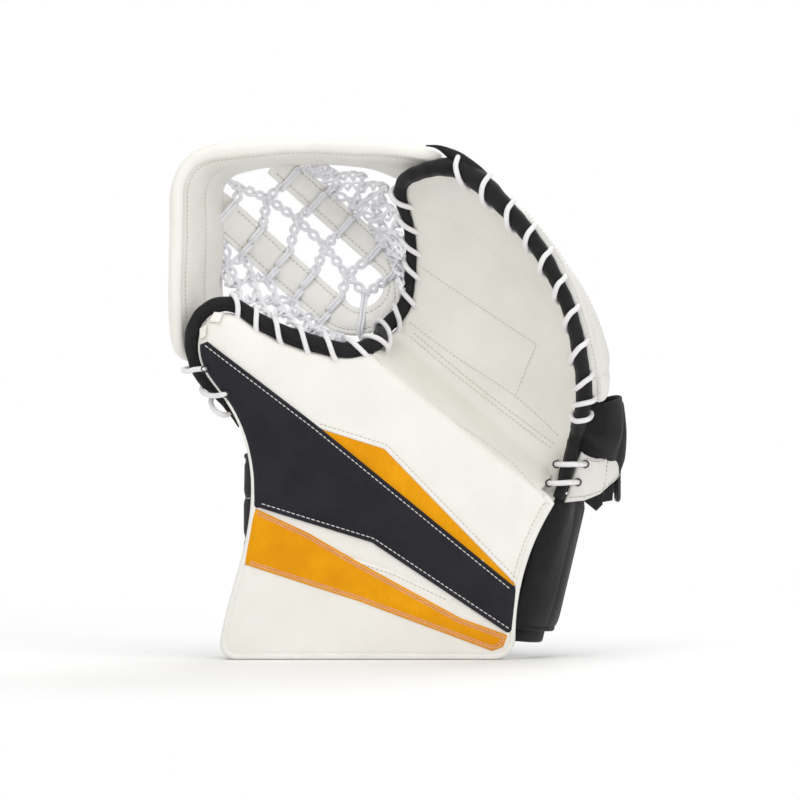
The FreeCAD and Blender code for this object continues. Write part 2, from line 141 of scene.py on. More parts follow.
def frames_along(path, up):
    """Tangent, side and up vectors along a path; up starts near a given direction and turns as little as it can."""
    tangent = unit(np.gradient(path, axis=0))
    ups = np.zeros_like(path)
    current = np.array(up, float)
    for i, t in enumerate(tangent):
        current = current - t * (current @ t)
        current = current / np.linalg.norm(current)
        ups[i] = current
    return tangent, np.cross(tangent, ups), ups


# ---- meshes -------------------------------------------------------------------------------------------
class Build:
    """Points and faces of one mesh, gathered part by part."""
    def __init__(self):
        self.points, self.faces, self.count = [], [], 0

    def add(self, points, faces):
        self.points.append(np.asarray(points, float).reshape(-1, 3))
        self.faces += [tuple(i + self.count for i in f) for f in faces]
        self.count += len(self.points[-1])

    def tube(self, path, radius, sides=10, up=(0, -1, 0), flat=1.0, ends=True):
        """A roll along a path; radius is one number or one for each point, flat squeezes it along its up."""
        path = np.asarray(path, float)
        _, side, ups = frames_along(path, up)
        radius = np.broadcast_to(np.asarray(radius, float), len(path))
        angle = np.arange(sides) * 2 * math.pi / sides
        ring = side[:, None] * np.cos(angle)[None, :, None] + ups[:, None] * (np.sin(angle) * flat)[None, :, None]
        points = path[:, None] + ring * radius[:, None, None]
        faces = wrap_faces(len(path), sides)
        flat_points = points.reshape(-1, 3)
        if ends:
            flat_points = np.vstack([flat_points, path[:1], path[-1:]])
            first, last = len(path) * sides, len(path) * sides + 1
            base = (len(path) - 1) * sides
            faces += [(first, (j + 1) % sides, j) for j in range(sides)]
            faces += [(last, base + j, base + (j + 1) % sides) for j in range(sides)]
        self.add(flat_points, faces)

    def object(self, name, material):
        return mesh_object(name, np.vstack(self.points), self.faces, material)


def wrap_faces(rows, sides):
    faces = []
    for i in range(rows - 1):
        for j in range(sides):
            k = (j + 1) % sides
            faces.append((i * sides + j, i * sides + k, (i + 1) * sides + k, (i + 1) * sides + j))
    return faces


def grid_faces(rows, columns):
    return [(i * columns + j, i * columns + j + 1, (i + 1) * columns + j + 1, (i + 1) * columns + j)
            for i in range(rows - 1) for j in range(columns - 1)]


def mesh_object(name, points, faces, material, smooth_faces=True):
    mesh = bpy.data.meshes.new(name)
    points = np.asarray(points, float).reshape(-1, 3)
    mesh.from_pydata((points * MM).tolist(), [], [tuple(f) for f in faces])
    mesh.validate()
    mesh.update()
    rest = mesh.attributes.new("rest", "FLOAT_VECTOR", "POINT")
    rest.data.foreach_set("vector", points.astype(np.float32).ravel())
    mesh.polygons.foreach_set("use_smooth", [smooth_faces] * len(mesh.polygons))
    obj = bpy.data.objects.new(name, mesh)
    bpy.context.scene.collection.objects.link(obj)
    obj.data.materials.append(material)
    fix_normals(obj)
    return obj


def fix_normals(obj):
    import bmesh
    mesh = bmesh.new()
    mesh.from_mesh(obj.data)
    bmesh.ops.recalc_face_normals(mesh, faces=mesh.faces)
    mesh.to_mesh(obj.data)
    mesh.free()


def closed_sheet(front, back):
    """Points and faces of a closed solid between two grids of the same size whose borders stay apart."""
    rows, columns = front.shape[:2]
    points = np.vstack([front.reshape(-1, 3), back.reshape(-1, 3)])
    shift = rows * columns
    faces = grid_faces(rows, columns)
    faces += [tuple(shift + i for i in reversed(f)) for f in grid_faces(rows, columns)]
    border = [j for j in range(columns)]
    border += [i * columns + columns - 1 for i in range(1, rows)]
    border += [(rows - 1) * columns + j for j in range(columns - 2, -1, -1)]
    border += [i * columns for i in range(rows - 2, 0, -1)]
    for a, b in zip(border, border[1:] + border[:1]):
        faces.append((b, a, a + shift, b + shift))
    return points, faces


def edge_distance(grid):
    """For each point of a grid, its distance along the grid lines to the nearest border."""
    run_u = np.cumsum(np.linalg.norm(np.diff(grid, axis=0, prepend=grid[:1]), axis=2), axis=0)
    run_v = np.cumsum(np.linalg.norm(np.diff(grid, axis=1, prepend=grid[:, :1]), axis=2), axis=1)
    return np.minimum(np.minimum(run_u, run_u[-1:] - run_u), np.minimum(run_v, run_v[:, -1:] - run_v))


def rounded(distance, radius):
    """Height share of a rounded edge: 0 on the border, 1 from radius inwards."""
    x = np.clip(distance / radius, 0, 1)
    return np.sqrt(np.maximum(1 - (1 - x) ** 2, 0))


def pad(name, grid, thickness, material, edge=4.0, crown=0.0, relief=None, side=1.0, lift=0.0):
    """A padded sheet: a grid at its under side, a rounded edge, a crowned top and an optional relief."""
    normal = grid_normals(grid) * side
    distance = edge_distance(grid)
    share = rounded(distance, edge)
    top = thickness * (0.5 + 0.5 * share) + crown * smooth(distance / (distance.max() + 1e-6))
    if relief is not None:
        top = top + relief * share
    low = thickness * 0.5 * (1 - share)
    front = grid + normal * (low + lift)[..., None]
    back = grid + normal * (top + lift)[..., None]
    points, faces = closed_sheet(front, back)
    return mesh_object(name, points, faces, material)


def stitch_row(build, path, normals, pitch=STITCH_PITCH, length=STITCH_LENGTH, radius=0.42, lift=0.25):
    """A row of thread dashes along a path on a surface; each dash arcs up from the leather and dips back in."""
    run = run_length(path)
    if run[-1] < pitch:
        return
    count = int(run[-1] / pitch)
    shares = np.linspace(-0.5, 0.5, 5)
    arch = np.array([-0.9, 0.35, 0.6, 0.35, -0.9]) * radius
    for i in range(count):
        middle = (i + 0.5) * run[-1] / count
        at = middle + shares * length
        place = np.stack([np.interp(at, run, path[:, k]) for k in range(3)], axis=1)
        normal = unit(np.array([np.interp(middle, run, normals[:, k]) for k in range(3)]))
        build.tube(place + normal * (arch + lift)[:, None], radius, sides=6, up=normal)


def surface_of(*objects):
    """A BVH of some objects' meshes, in metres."""
    points, faces = [], []
    for o in objects:
        shift = len(points)
        points += [tuple(v.co) for v in o.data.vertices]
        faces += [tuple(i + shift for i in p.vertices) for p in o.data.polygons]
    return BVHTree.FromPolygons(points, faces)


def drop(tree, xz, start=-300.0, direction=(0, 1, 0)):
    """Where lines along +Y through (x, z) points first meet a surface, with the normals there, in millimetres."""
    places, normals = [], []
    for x, z in xz:
        hit = tree.ray_cast(Vector((x * MM, start * MM, z * MM)), Vector(direction))
        if hit[0] is None:
            near = tree.find_nearest(Vector((x * MM, 0, z * MM)))
            hit = near
        normal = np.array(hit[1])
        places.append(np.array(hit[0]) / MM)
        normals.append(normal if normal[1] < 0 else -normal)
    return np.array(places), np.array(normals)


def eyelet(build, place, normal, radius=2.1):
    """A small punched hole edge."""
    turn = np.linspace(0, 2 * math.pi, 17)
    _, side, ups = frames_along(np.array([place, place + normal]), (0, 0.01, 1))
    ring = place + side[0] * np.cos(turn)[:, None] * radius + ups[0] * np.sin(turn)[:, None] * radius
    build.tube(ring, 0.55, 6, up=normal, ends=False)


# ---- materials ----------------------------------------------------------------------------------------
class Shader:
    """A small helper for building a Principled material node by node. Patterns are laid out in millimetres."""
    def __init__(self, name, color, roughness):
        self.material = bpy.data.materials.new(name)
        self.material.use_nodes = True
        self.tree = self.material.node_tree
        self.principled = self.tree.nodes["Principled BSDF"]
        self.principled.inputs["Base Color"].default_value = (*color, 1)
        self.principled.inputs["Roughness"].default_value = roughness
        self.material.diffuse_color = (*color, 1)
        self.rest = self.attribute("rest", "Vector")
        self.height = None

    def node(self, kind, **values):
        node = self.tree.nodes.new(kind)
        for key, value in values.items():
            if key in node.inputs:
                self.join(value, node.inputs[key])
            else:
                setattr(node, key, value)
        return node

    def join(self, value, socket):
        if isinstance(value, bpy.types.NodeSocket):
            self.tree.links.new(value, socket)
        else:
            socket.default_value = value

    def attribute(self, name, output="Fac"):
        node = self.tree.nodes.new("ShaderNodeAttribute")
        node.attribute_name = name
        return node.outputs[output]


    def scaled(self, scale):
        node = self.tree.nodes.new("ShaderNodeVectorMath")
        node.operation = "MULTIPLY"
        self.tree.links.new(self.rest, node.inputs[0])
        node.inputs[1].default_value = scale
        return node.outputs[0]

    def noise(self, size, detail=3.0, roughness=0.55, stretch=(1, 1, 1)):
        place = self.scaled(tuple(s / size for s in stretch))
        node = self.node("ShaderNodeTexNoise", Vector=place, Scale=1.0, Detail=detail, Roughness=roughness)
        return node.outputs["Fac"]

    def cells(self, size, feature="F1", randomness=1.0):
        node = self.node("ShaderNodeTexVoronoi", feature=feature, Vector=self.scaled((1 / size,) * 3), Scale=1.0,
                         Randomness=randomness)
        return node.outputs["Distance"]

    def wave(self, size, direction, distortion=0.0):
        """Ridges across a direction ('X', 'Y', 'Z' or 'DIAGONAL'), one every size millimetres."""
        node = self.node("ShaderNodeTexWave", bands_direction=direction, Vector=self.scaled((1 / size,) * 3),
                         Scale=math.pi / 10, Distortion=distortion)
        return node.outputs["Fac"]

    def math(self, operation, first, second=0.5):
        node = self.tree.nodes.new("ShaderNodeMath")
        node.operation = operation
        self.join(first, node.inputs[0])
        self.join(second, node.inputs[1])
        return node.outputs[0]

    def ramp(self, value, low, high, out_low=0.0, out_high=1.0):
        node = self.tree.nodes.new("ShaderNodeMapRange")
        self.tree.links.new(value, node.inputs["Value"])
        for key, number in (("From Min", low), ("From Max", high), ("To Min", out_low), ("To Max", out_high)):
            node.inputs[key].default_value = number
        return node.outputs["Result"]

    def mix(self, share, first, second):
        node = self.tree.nodes.new("ShaderNodeMix")
        node.data_type = "RGBA"
        self.join(share, node.inputs["Factor"])
        for value, socket in ((first, node.inputs[6]), (second, node.inputs[7])):
            self.join((*value, 1) if isinstance(value, tuple) else value, socket)
        return node.outputs[2]

    def color(self, value):
        self.join(value, self.principled.inputs["Base Color"])

    def roughness(self, value):
        self.join(value, self.principled.inputs["Roughness"])

    def bump(self, height, depth_mm, strength=1.0):
        """Adds relief of a real depth; several calls stack."""
        node = self.tree.nodes.new("ShaderNodeBump")
        self.join(height, node.inputs["Height"])
        node.inputs["Distance"].default_value = depth_mm * MM
        node.inputs["Strength"].default_value = strength
        if self.height is not None:
            self.tree.links.new(self.height, node.inputs["Normal"])
        self.height = node.outputs["Normal"]
        self.tree.links.new(self.height, self.principled.inputs["Normal"])

    def sheen(self, weight, roughness=0.4, tint=(1, 1, 1)):
        self.principled.inputs["Sheen Weight"].default_value = weight
        self.principled.inputs["Sheen Roughness"].default_value = roughness
        self.principled.inputs["Sheen Tint"].default_value = (*tint, 1)

    def coat(self, weight, roughness):
        self.principled.inputs["Coat Weight"].default_value = weight
        self.principled.inputs["Coat Roughness"].default_value = roughness


def leather(name, light, dark, roughness, grain_mm=1.1, grain_depth=0.10, coat=0.0):
    """Coated synthetic leather: pebbled grain, soft creases, faint mottling and slightly duller patches."""
    s = Shader(name, light, roughness)
    mottle = s.ramp(s.noise(38.0, 4), 0.35, 0.7)
    fine = s.ramp(s.noise(4.0, 3), 0.3, 0.75)
    tone = s.mix(mottle, light, dark)
    s.color(s.mix(s.math("MULTIPLY", fine, 0.25), tone, dark))
    s.roughness(s.ramp(s.noise(9.0, 4), 0.3, 0.7, roughness - 0.06, roughness + 0.10))
    s.bump(s.noise(26.0, 3), 0.55, 0.35)
    s.bump(s.cells(grain_mm, "SMOOTH_F1"), grain_depth, 0.8)
    s.bump(s.noise(0.5, 2), 0.05, 0.5)
    if coat:
        s.coat(coat, 0.35)
    return s.material


def weave(name, light, dark, roughness, pitch, depth, sheen=0.0, tint=(1, 1, 1)):
    """Woven cloth: two crossing sets of ridges with slubs."""
    s = Shader(name, light, roughness)
    warp, weft = s.wave(pitch, "X", 0.6), s.wave(pitch, "Z", 0.6)
    deep = s.wave(pitch, "Y", 0.6)
    s.principled.inputs["Specular IOR Level"].default_value = 0.2
    cross = s.math("MAXIMUM", s.math("MULTIPLY", warp, weft), s.math("MULTIPLY", deep, weft))
    tone = s.mix(s.ramp(s.noise(24.0, 3), 0.35, 0.7), light, dark)
    s.color(s.mix(s.math("MULTIPLY", cross, 0.55), tone, dark))
    s.roughness(s.ramp(s.noise(6.0, 3), 0.3, 0.7, roughness - 0.08, roughness + 0.08))
    s.bump(s.noise(14.0, 3), 0.35, 0.4)
    s.bump(cross, depth, 0.9)
    if sheen:
        s.sheen(sheen, 0.45, tint)
    return s.material


def brushed(name, light, dark, roughness, fibre=0.5, depth=0.16, sheen=0.5, tint=(1, 1, 1)):
    """Brushed knit or suede: short matted fibres over soft mottling."""
    s = Shader(name, light, roughness)
    tone = s.mix(s.ramp(s.noise(30.0, 4), 0.3, 0.72), light, dark)
    s.principled.inputs["Specular IOR Level"].default_value = 0.2
    nap = s.noise(3.2, 4, 0.65, (1, 1, 0.5))
    s.color(s.mix(s.ramp(nap, 0.35, 0.75, 0.0, 0.55), tone, dark))
    s.roughness(roughness)
    s.bump(s.noise(18.0, 3), 0.5, 0.35)
    s.bump(nap, 0.14, 0.5)
    s.bump(s.noise(fibre, 3, 0.7), depth, 0.8)
    s.sheen(sheen, 0.5, tint)
    return s.material


def cord(name, light, dark, roughness, strand_mm=0.35):
    """Waxed lace or cord: fine fibres along it, a soft gloss and slightly darker grooves."""
    s = Shader(name, light, roughness)
    fibre = s.noise(strand_mm, 3, 0.6, (1, 1, 1))
    s.color(s.mix(s.ramp(s.noise(7.0, 3), 0.3, 0.75, 0.0, 0.6), light, dark))
    s.roughness(s.ramp(fibre, 0.3, 0.7, roughness - 0.08, roughness + 0.12))
    s.bump(s.noise(2.4, 3), 0.12, 0.5)
    s.bump(fibre, 0.06, 0.7)
    s.principled.inputs["Subsurface Weight"].default_value = 0.12
    s.principled.inputs["Subsurface Radius"].default_value = (0.002, 0.002, 0.002)
    return s.material


def moulded(name, light, roughness, object_space=False):
    """Moulded plastic with a fine spark-eroded texture and faint scuffs."""
    s = Shader(name, light, roughness)
    if object_space:                                    # for a mesh that holds no rest positions
        place = s.node("ShaderNodeTexCoord").outputs["Object"]
        scale = s.node("ShaderNodeVectorMath", operation="SCALE", Scale=1 / MM)
        s.join(place, scale.inputs[0])
        s.rest = scale.outputs[0]
    scuff = s.ramp(s.noise(5.0, 5, 0.7, (1, 1, 6)), 0.55, 0.8)
    s.color(s.mix(s.math("MULTIPLY", scuff, 0.35), light, tuple(min(c * 1.8 + 0.02, 1) for c in light)))
    s.roughness(s.ramp(scuff, 0, 1, roughness, roughness + 0.15))
    s.bump(s.noise(0.6, 2), 0.03, 0.7)
    return s.material


WHITE = leather("white_leather", (0.86, 0.845, 0.80), (0.81, 0.79, 0.735), 0.46, coat=0.06)
SHELL_LEATHER = leather("shell_leather", (0.77, 0.755, 0.725), (0.72, 0.705, 0.665), 0.46, coat=0.06)
# A lighter copy of the white leather for the T's stem: painted light, making up for the shade the stem lies in inside
# the web
WEB_LEATHER_PAINTED_LIGHT = leather("web_leather_painted_light", (0.93, 0.92, 0.88), (0.89, 0.875, 0.83), 0.5, grain_mm=0.9, grain_depth=0.06)
PALM = leather("palm_leather", (0.80, 0.785, 0.73), (0.75, 0.73, 0.67), 0.56, grain_mm=0.8, grain_depth=0.06)
PIPING = leather("white_piping", (0.86, 0.85, 0.81), (0.80, 0.78, 0.74), 0.44, grain_mm=0.9, grain_depth=0.06)
BLACK = weave("black_synthetic", (0.016, 0.016, 0.022), (0.010, 0.010, 0.015), 0.50, 0.9, 0.10, 0.10,
              (0.55, 0.6, 0.8))
AMBER = brushed("amber_leather", (0.86, 0.38, 0.004), (0.72, 0.28, 0.002), 0.62, 0.5, 0.10, 0.0)
AMBER.node_tree.nodes["Principled BSDF"].inputs["Specular IOR Level"].default_value = 0.1
BINDING = weave("black_binding", (0.014, 0.014, 0.015), (0.008, 0.008, 0.009), 0.62, 0.8, 0.14, 0.08)
LACE = cord("lace", (0.84, 0.825, 0.83), (0.74, 0.72, 0.73), 0.42)
NET = cord("net_cord", (0.92, 0.92, 0.955), (0.84, 0.84, 0.89), 0.36)
LINING = brushed("black_lining", (0.017, 0.017, 0.018), (0.010, 0.010, 0.011), 0.85, 0.7, 0.2, 0.12)
KNIT = weave("hand_fabric", (0.024, 0.024, 0.026), (0.014, 0.014, 0.015), 0.80, 1.5, 0.25, 0.1)
GUARD = brushed("guard_fabric", (0.022, 0.022, 0.024), (0.012, 0.012, 0.013), 0.82, 0.6, 0.15, 0.15)
HOOKS = brushed("hook_and_loop", (0.013, 0.013, 0.013), (0.007, 0.007, 0.007), 0.95, 0.9, 0.5, 0.3)
WEBBING = weave("webbing", (0.020, 0.020, 0.020), (0.010, 0.010, 0.010), 0.62, 1.9, 0.45, 0.2)
PLASTIC = moulded("ring_plastic", (0.018, 0.018, 0.019), 0.34)
BOARD = moulded("board", (0.62, 0.62, 0.60), 0.5, True)
FOAM = brushed("foam", (0.055, 0.055, 0.06), (0.03, 0.03, 0.034), 0.95, 0.8, 0.25, 0.1)
THREAD = cord("white_thread", (0.80, 0.79, 0.76), (0.66, 0.64, 0.6), 0.6)
PALE_THREAD = cord("cream_thread", (0.60, 0.575, 0.50), (0.48, 0.455, 0.39), 0.65)
PEACH_THREAD = cord("peach_thread", (0.86, 0.52, 0.34), (0.72, 0.38, 0.22), 0.6)
METAL = moulded("eyelet_metal", (0.05, 0.05, 0.052), 0.3)
METAL.node_tree.nodes["Principled BSDF"].inputs["Metallic"].default_value = 0.9


# ---- the glove's surfaces -----------------------------------------------------------------------------
fold = next(j for j in frame["joints"] if j["name"] == "glove_close")
HEEL = np.array(fold["pos_m"]) / MM
FOLD_AXIS = -unit(np.array(fold["axis"]))               # from the heel towards the corner of the T
S_DIR = unit(FOLD_AXIS * (1, 0, 1))                     # along the fold, in the XZ plane
T_DIR = np.array([S_DIR[2], 0, -S_DIR[0]])              # across it, towards the fingers
FOLD_SLOPE = FOLD_AXIS[1] / math.hypot(FOLD_AXIS[0], FOLD_AXIS[2])
FOLD_GAP = 3.0
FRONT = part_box("cuff_skin")[0].y / MM                   # the cuff's front face
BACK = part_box("cuff_lining")[1].y / MM
FINGER_RIM = spline([(-7, 8, 4), (8, -4, 24), (26, -17, 43), (66, -36, 70), (105, -43, 88), (155, -46, 102),
                     (192, -43, 104), (209, -40, 97)])
POCKET_EDGE = spline([(27, 37, 246), (33, 32, 264), (36, 20, 292), (32, 5, 320), (28, -8, 338), (33, -20, 346),
                      (42, -31, 349), (50, -40, 350)])
TIP_BLEND = 0.45
BLEND_SPAN = 15.0


def page(s, t, depth):
    """Points at s along the fold axis, t across it, at a depth."""
    s, t, depth = np.broadcast_arrays(np.asarray(s, float), t, depth)
    place = HEEL * (1, 0, 1) + s[..., None] * S_DIR + t[..., None] * T_DIR
    return place + depth[..., None] * np.array([0, 1.0, 0])


def fold_depth(s):
    return HEEL[1] + FOLD_SLOPE * s


def across_fold(point):
    """How far a point lies across the fold, towards the fingers."""
    return (np.asarray(point) - HEEL) @ T_DIR


def blend_fold(obj, span=BLEND_SPAN):
    """Bakes a piece's transform into its mesh; it is not bent between the two halves of the fold."""
    start, end = page(80, -span, 0) * MM, page(80, span, 0) * MM
    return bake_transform(obj)


def cupped_point(b, q):
    """The finger page as a cupped sheet: b from heel to fingertip, q from the fold to the rim."""
    b, q = np.broadcast_arrays(np.asarray(b, float), np.asarray(q, float))
    rim = FINGER_RIM(b)
    start = 4 + 152 * b
    turn = q * math.pi / 2
    reach = np.sin(turn)
    s = start + (rim[..., 0] - start) * (1 - np.maximum(1 - reach, 0) ** 1.5)
    t = FOLD_GAP + (rim[..., 2] - FOLD_GAP) * reach
    return page(s, t, rim[..., 1] + (fold_depth(start) - rim[..., 1]) * np.cos(turn))


def finger_point(b, q):
    """Palm side of the finger page, drawn to the pocket's edge near the fingertips."""
    b, q = np.broadcast_arrays(np.asarray(b, float), np.asarray(q, float))
    pull = POCKET_EDGE(q) - cupped_point(np.ones_like(b), q)
    return cupped_point(b, q) + pull * smooth((b - 1 + TIP_BLEND) / TIP_BLEND)[..., None]


PALM_EDGE_DEPTH = -8.5


def thumb_palm_point(b, v):
    """Palm on the thumb side: b along the fold, v from the cuff's edge to the fold."""
    b, v = np.broadcast_arrays(np.asarray(b, float), np.asarray(v, float))
    s = -1 + 157 * b
    edge = -23.5 - 8.9 * b
    depth = PALM_EDGE_DEPTH + (fold_depth(s) - PALM_EDGE_DEPTH) * np.sin(np.clip(v, 0, 1) * math.pi / 2) ** 1.4
    return page(s, edge + (-FOLD_GAP - edge) * v, depth)


# ---- flat panels cut to an outline --------------------------------------------------------------------
def front_loops(node):
    """The border loops, as (x, z) points, of a CAD plate's front face, longest first."""
    mesh = frame["nodes"][node].data
    front = min(v.co.y for v in mesh.vertices)
    edges = {}
    for face in mesh.polygons:
        corners = [mesh.vertices[i].co for i in face.vertices]
        if all(abs(c.y - front) < 2e-5 for c in corners):
            keys = [(round(c.x / MM, 2), round(c.z / MM, 2)) for c in corners]
            for a, b in zip(keys, keys[1:] + keys[:1]):
                edges[(a, b)] = edges.get((a, b), 0) + 1
    border = {a: b for (a, b) in edges if (b, a) not in edges}
    loops = []
    while border:
        start = next(iter(border))
        loop, at = [start], border.pop(start)
        while at != start and at in border:
            loop.append(at)
            at = border.pop(at)
        loops.append(np.array(loop))
    return sorted(loops, key=lambda p: -run_length(p)[-1])


def anticlockwise(loop):
    x, z = loop[:, 0], loop[:, 1]
    area = np.sum(x * np.roll(z, -1) - np.roll(x, -1) * z)
    return loop if area > 0 else loop[::-1]


def line_distance(points, line, closed=False):
    """Distance of each 2-D point from a polyline."""
    a = line if closed else line[:-1]
    b = np.roll(line, -1, axis=0) if closed else line[1:]
    along = b - a
    size = np.maximum((along ** 2).sum(1), 1e-9)
    best = np.full(len(points), 1e9)
    for start in range(0, len(points), 2000):
        p = points[start:start + 2000, None]
        share = np.clip(((p - a) * along).sum(2) / size, 0, 1)
        gap = np.linalg.norm(p - (a + share[..., None] * along), axis=2)
        best[start:start + 2000] = gap.min(1)
    return best


def inside(points, loop):
    a, b = loop, np.roll(loop, -1, axis=0)
    x, z = points[:, None, 0], points[:, None, 1]
    cross = (a[:, 1] > z) != (b[:, 1] > z)
    rise = np.where(np.abs(b[:, 1] - a[:, 1]) < 1e-9, 1e-9, b[:, 1] - a[:, 1])
    at = a[:, 0] + (z - a[:, 1]) / rise * (b[:, 0] - a[:, 0])
    return (cross & (x < at)).sum(1) % 2 == 1


def outward_normals(loop):
    along = np.roll(loop, -1, axis=0) - np.roll(loop, 1, axis=0)
    return unit(np.stack([along[:, 1], -along[:, 0]], axis=1))


def triangulate(loop, rings, spacing, lines=()):
    """Points and triangles filling a loop, with rows of points along its border and beside some lines."""
    normals = outward_normals(loop)
    rows = []
    for ring in rings:
        row = loop - normals * ring
        rows.append(row[line_distance(row, loop, True) > 0.96 * ring])
    for line in lines:
        dense = resample(line, 1.6)
        along = unit(np.gradient(dense, axis=0))
        side = np.stack([along[:, 1], -along[:, 0]], axis=1)
        for offset in (-2.0, -0.9, -0.35, 0.0, 0.35, 0.9, 2.0):
            row = dense + side * offset
            rows.append(row[line_distance(row, loop, True) > 0.6])
    rows = np.vstack(rows) if rows else np.zeros((0, 2))
    rows = rows[inside(rows, loop)]
    low, high = loop.min(0), loop.max(0)
    xs = np.arange(low[0], high[0], spacing)
    zs = np.arange(low[1], high[1], spacing * 0.866)
    x, z = np.meshgrid(xs, zs)
    x = x + (np.arange(len(zs)) % 2)[:, None] * spacing / 2
    fill = np.stack([x.ravel(), z.ravel()], axis=1)
    fill = fill[inside(fill, loop) & (line_distance(fill, loop, True) > (rings[-1] if rings else 0) + spacing * 0.5)]
    for line in lines:
        fill = fill[line_distance(fill, np.array(line, float)) > 2.0 + spacing * 0.4]
    points = np.vstack([loop, rows, fill])
    count = len(loop)
    border = [(i, (i + 1) % count) for i in range(count)]
    out = delaunay_2d_cdt([Vector(p) for p in points], border, [list(range(count))], 1, 1e-3)
    return np.array([tuple(p) for p in out[0]]), [tuple(f) for f in out[2]]


def border_of(faces):
    """The ordered border of a triangulated disc."""
    edges = {(f[i], f[(i + 1) % len(f)]) for f in faces for i in range(len(f))}
    following = {a: b for a, b in edges if (b, a) not in edges}
    start = next(iter(following))
    loop, at = [start], following[start]
    while at != start:
        loop.append(at)
        at = following[at]
    return loop


def closed_plate(flat, faces, front, back, walls=()):
    """A closed solid from a flat triangulation, its front and back depths, and wall rows between (bulge, share)."""
    count = len(flat)
    border = border_of(faces)
    points = [np.stack([flat[:, 0], front, flat[:, 1]], axis=1), np.stack([flat[:, 0], back, flat[:, 1]], axis=1)]
    faces_out = list(faces) + [tuple(count + i for i in reversed(f)) for f in faces]
    rows = [border]
    loop = flat[border]
    normals = outward_normals(anticlockwise(loop)) if len(loop) else loop
    if np.sum(loop[:, 0] * np.roll(loop[:, 1], -1) - np.roll(loop[:, 0], -1) * loop[:, 1]) < 0:
        normals = outward_normals(loop[::-1])[::-1]
    total = 2 * count
    for bulge, share in walls:
        place = loop + normals * bulge
        depth = front[border] + (back[border] - front[border]) * share
        points.append(np.stack([place[:, 0], depth, place[:, 1]], axis=1))
        rows.append(list(range(total, total + len(border))))
        total += len(border)
    rows.append([count + i for i in border])
    for first, second in zip(rows, rows[1:]):
        for i in range(len(border)):
            j = (i + 1) % len(border)
            faces_out.append((first[j], first[i], second[i], second[j]))
    return np.vstack(points), faces_out


def waves(points, size, amount, seed=0.0):
    """Gentle unevenness: smooth noise of a given size, in millimetres."""
    from mathutils import noise
    place = np.asarray(points, float).reshape(-1, np.shape(points)[-1])
    out = [noise.noise(Vector((p[0] / size + seed, p[-1] / size - seed, seed * 1.7))) for p in place]
    return amount * np.array(out).reshape(np.shape(points)[:-1])


# ---- cuff ---------------------------------------------------------------------------------------------
EDGE_ROUND = 6.0
PILLOW = 4.2
WEDGE_LIP = 0.9
cuff_loop = anticlockwise(resample(front_loops("edge_piping")[0], 2.2, True))
heel_corner = int(np.argmin(np.linalg.norm(cuff_loop - (130.5, 118.0), axis=1)))
pocket_corner = int(np.argmin(np.linalg.norm(cuff_loop - (4.0, 219.0), axis=1)))
cuff_loop = np.roll(cuff_loop, -pocket_corner, axis=0)      # starts at the pocket corner, then thumb, left edge
heel_corner = (heel_corner - pocket_corner) % len(cuff_loop)
DIAGONAL = np.vstack([cuff_loop[heel_corner:], cuff_loop[:1]])
wedge_loop = anticlockwise(front_loops("yellow_wedge")[0])
# the wedge's two outer sides run anticlockwise from its lower right tip to its upper left one
wedge_low = int(np.argmax(wedge_loop[:, 0] - wedge_loop[:, 1]))
wedge_high = int(np.argmin(wedge_loop[:, 0] - 0.2 * wedge_loop[:, 1]))
WEDGE_EDGE = np.roll(wedge_loop, -wedge_low, axis=0)[:(wedge_high - wedge_low) % len(wedge_loop) + 1]
FACET_SEAM = np.array([(-14.0, 74.0), (20.0, 63.0), (60.0, 44.0)])


def cuff_half(points):
    """Half thickness of the padded cuff: a rounded edge, a broad crown and a slack surface."""
    d = line_distance(points, cuff_loop, True)
    soft = 1 - np.exp(-d / 26)
    slack = waves(points, 55, 0.9, 3.0) + waves(points, 21, 0.25, 9.0)
    return 7.0 + 4.0 * rounded(d, EDGE_ROUND) + PILLOW * soft + slack * smooth(d / 15)


def cuff_front(points):
    """Depth of the cuff's white face at (x, z) points, with the lip that stands round the amber wedge."""
    depth = -cuff_half(points)
    away = line_distance(points, WEDGE_EDGE)
    lip = np.where(inside(points, wedge_loop), 0.0, WEDGE_LIP * rounded(away, 0.8) * np.exp(-(away / 11) ** 2))
    seam = line_distance(points, FACET_SEAM)
    stitched = line_distance(points, STITCHED_LIP)
    return depth - lip + 0.45 * bump(seam, 0.8) + 0.25 * bump(stitched, 0.8)


def offset_line(line, distance):
    """A polyline moved to its right by a distance."""
    along = unit(np.gradient(line, axis=0))
    return line + np.stack([along[:, 1], -along[:, 0]], axis=1) * distance


STITCHED_LIP = offset_line(resample(WEDGE_EDGE, 3.0), 3.4)


def normals_of(front, points):
    """Outward normals of a depth function, by differences."""
    step = 0.6
    dx = (front(points + (step, 0)) - front(points - (step, 0))) / (2 * step)
    dz = (front(points + (0, step)) - front(points - (0, step))) / (2 * step)
    return unit(np.stack([dx, -np.ones_like(dx), dz], axis=1))


def on_cuff(points, lift=0.0, front=cuff_front):
    points = np.asarray(points, float)
    return np.stack([points[:, 0], front(points) - lift, points[:, 1]], axis=1)


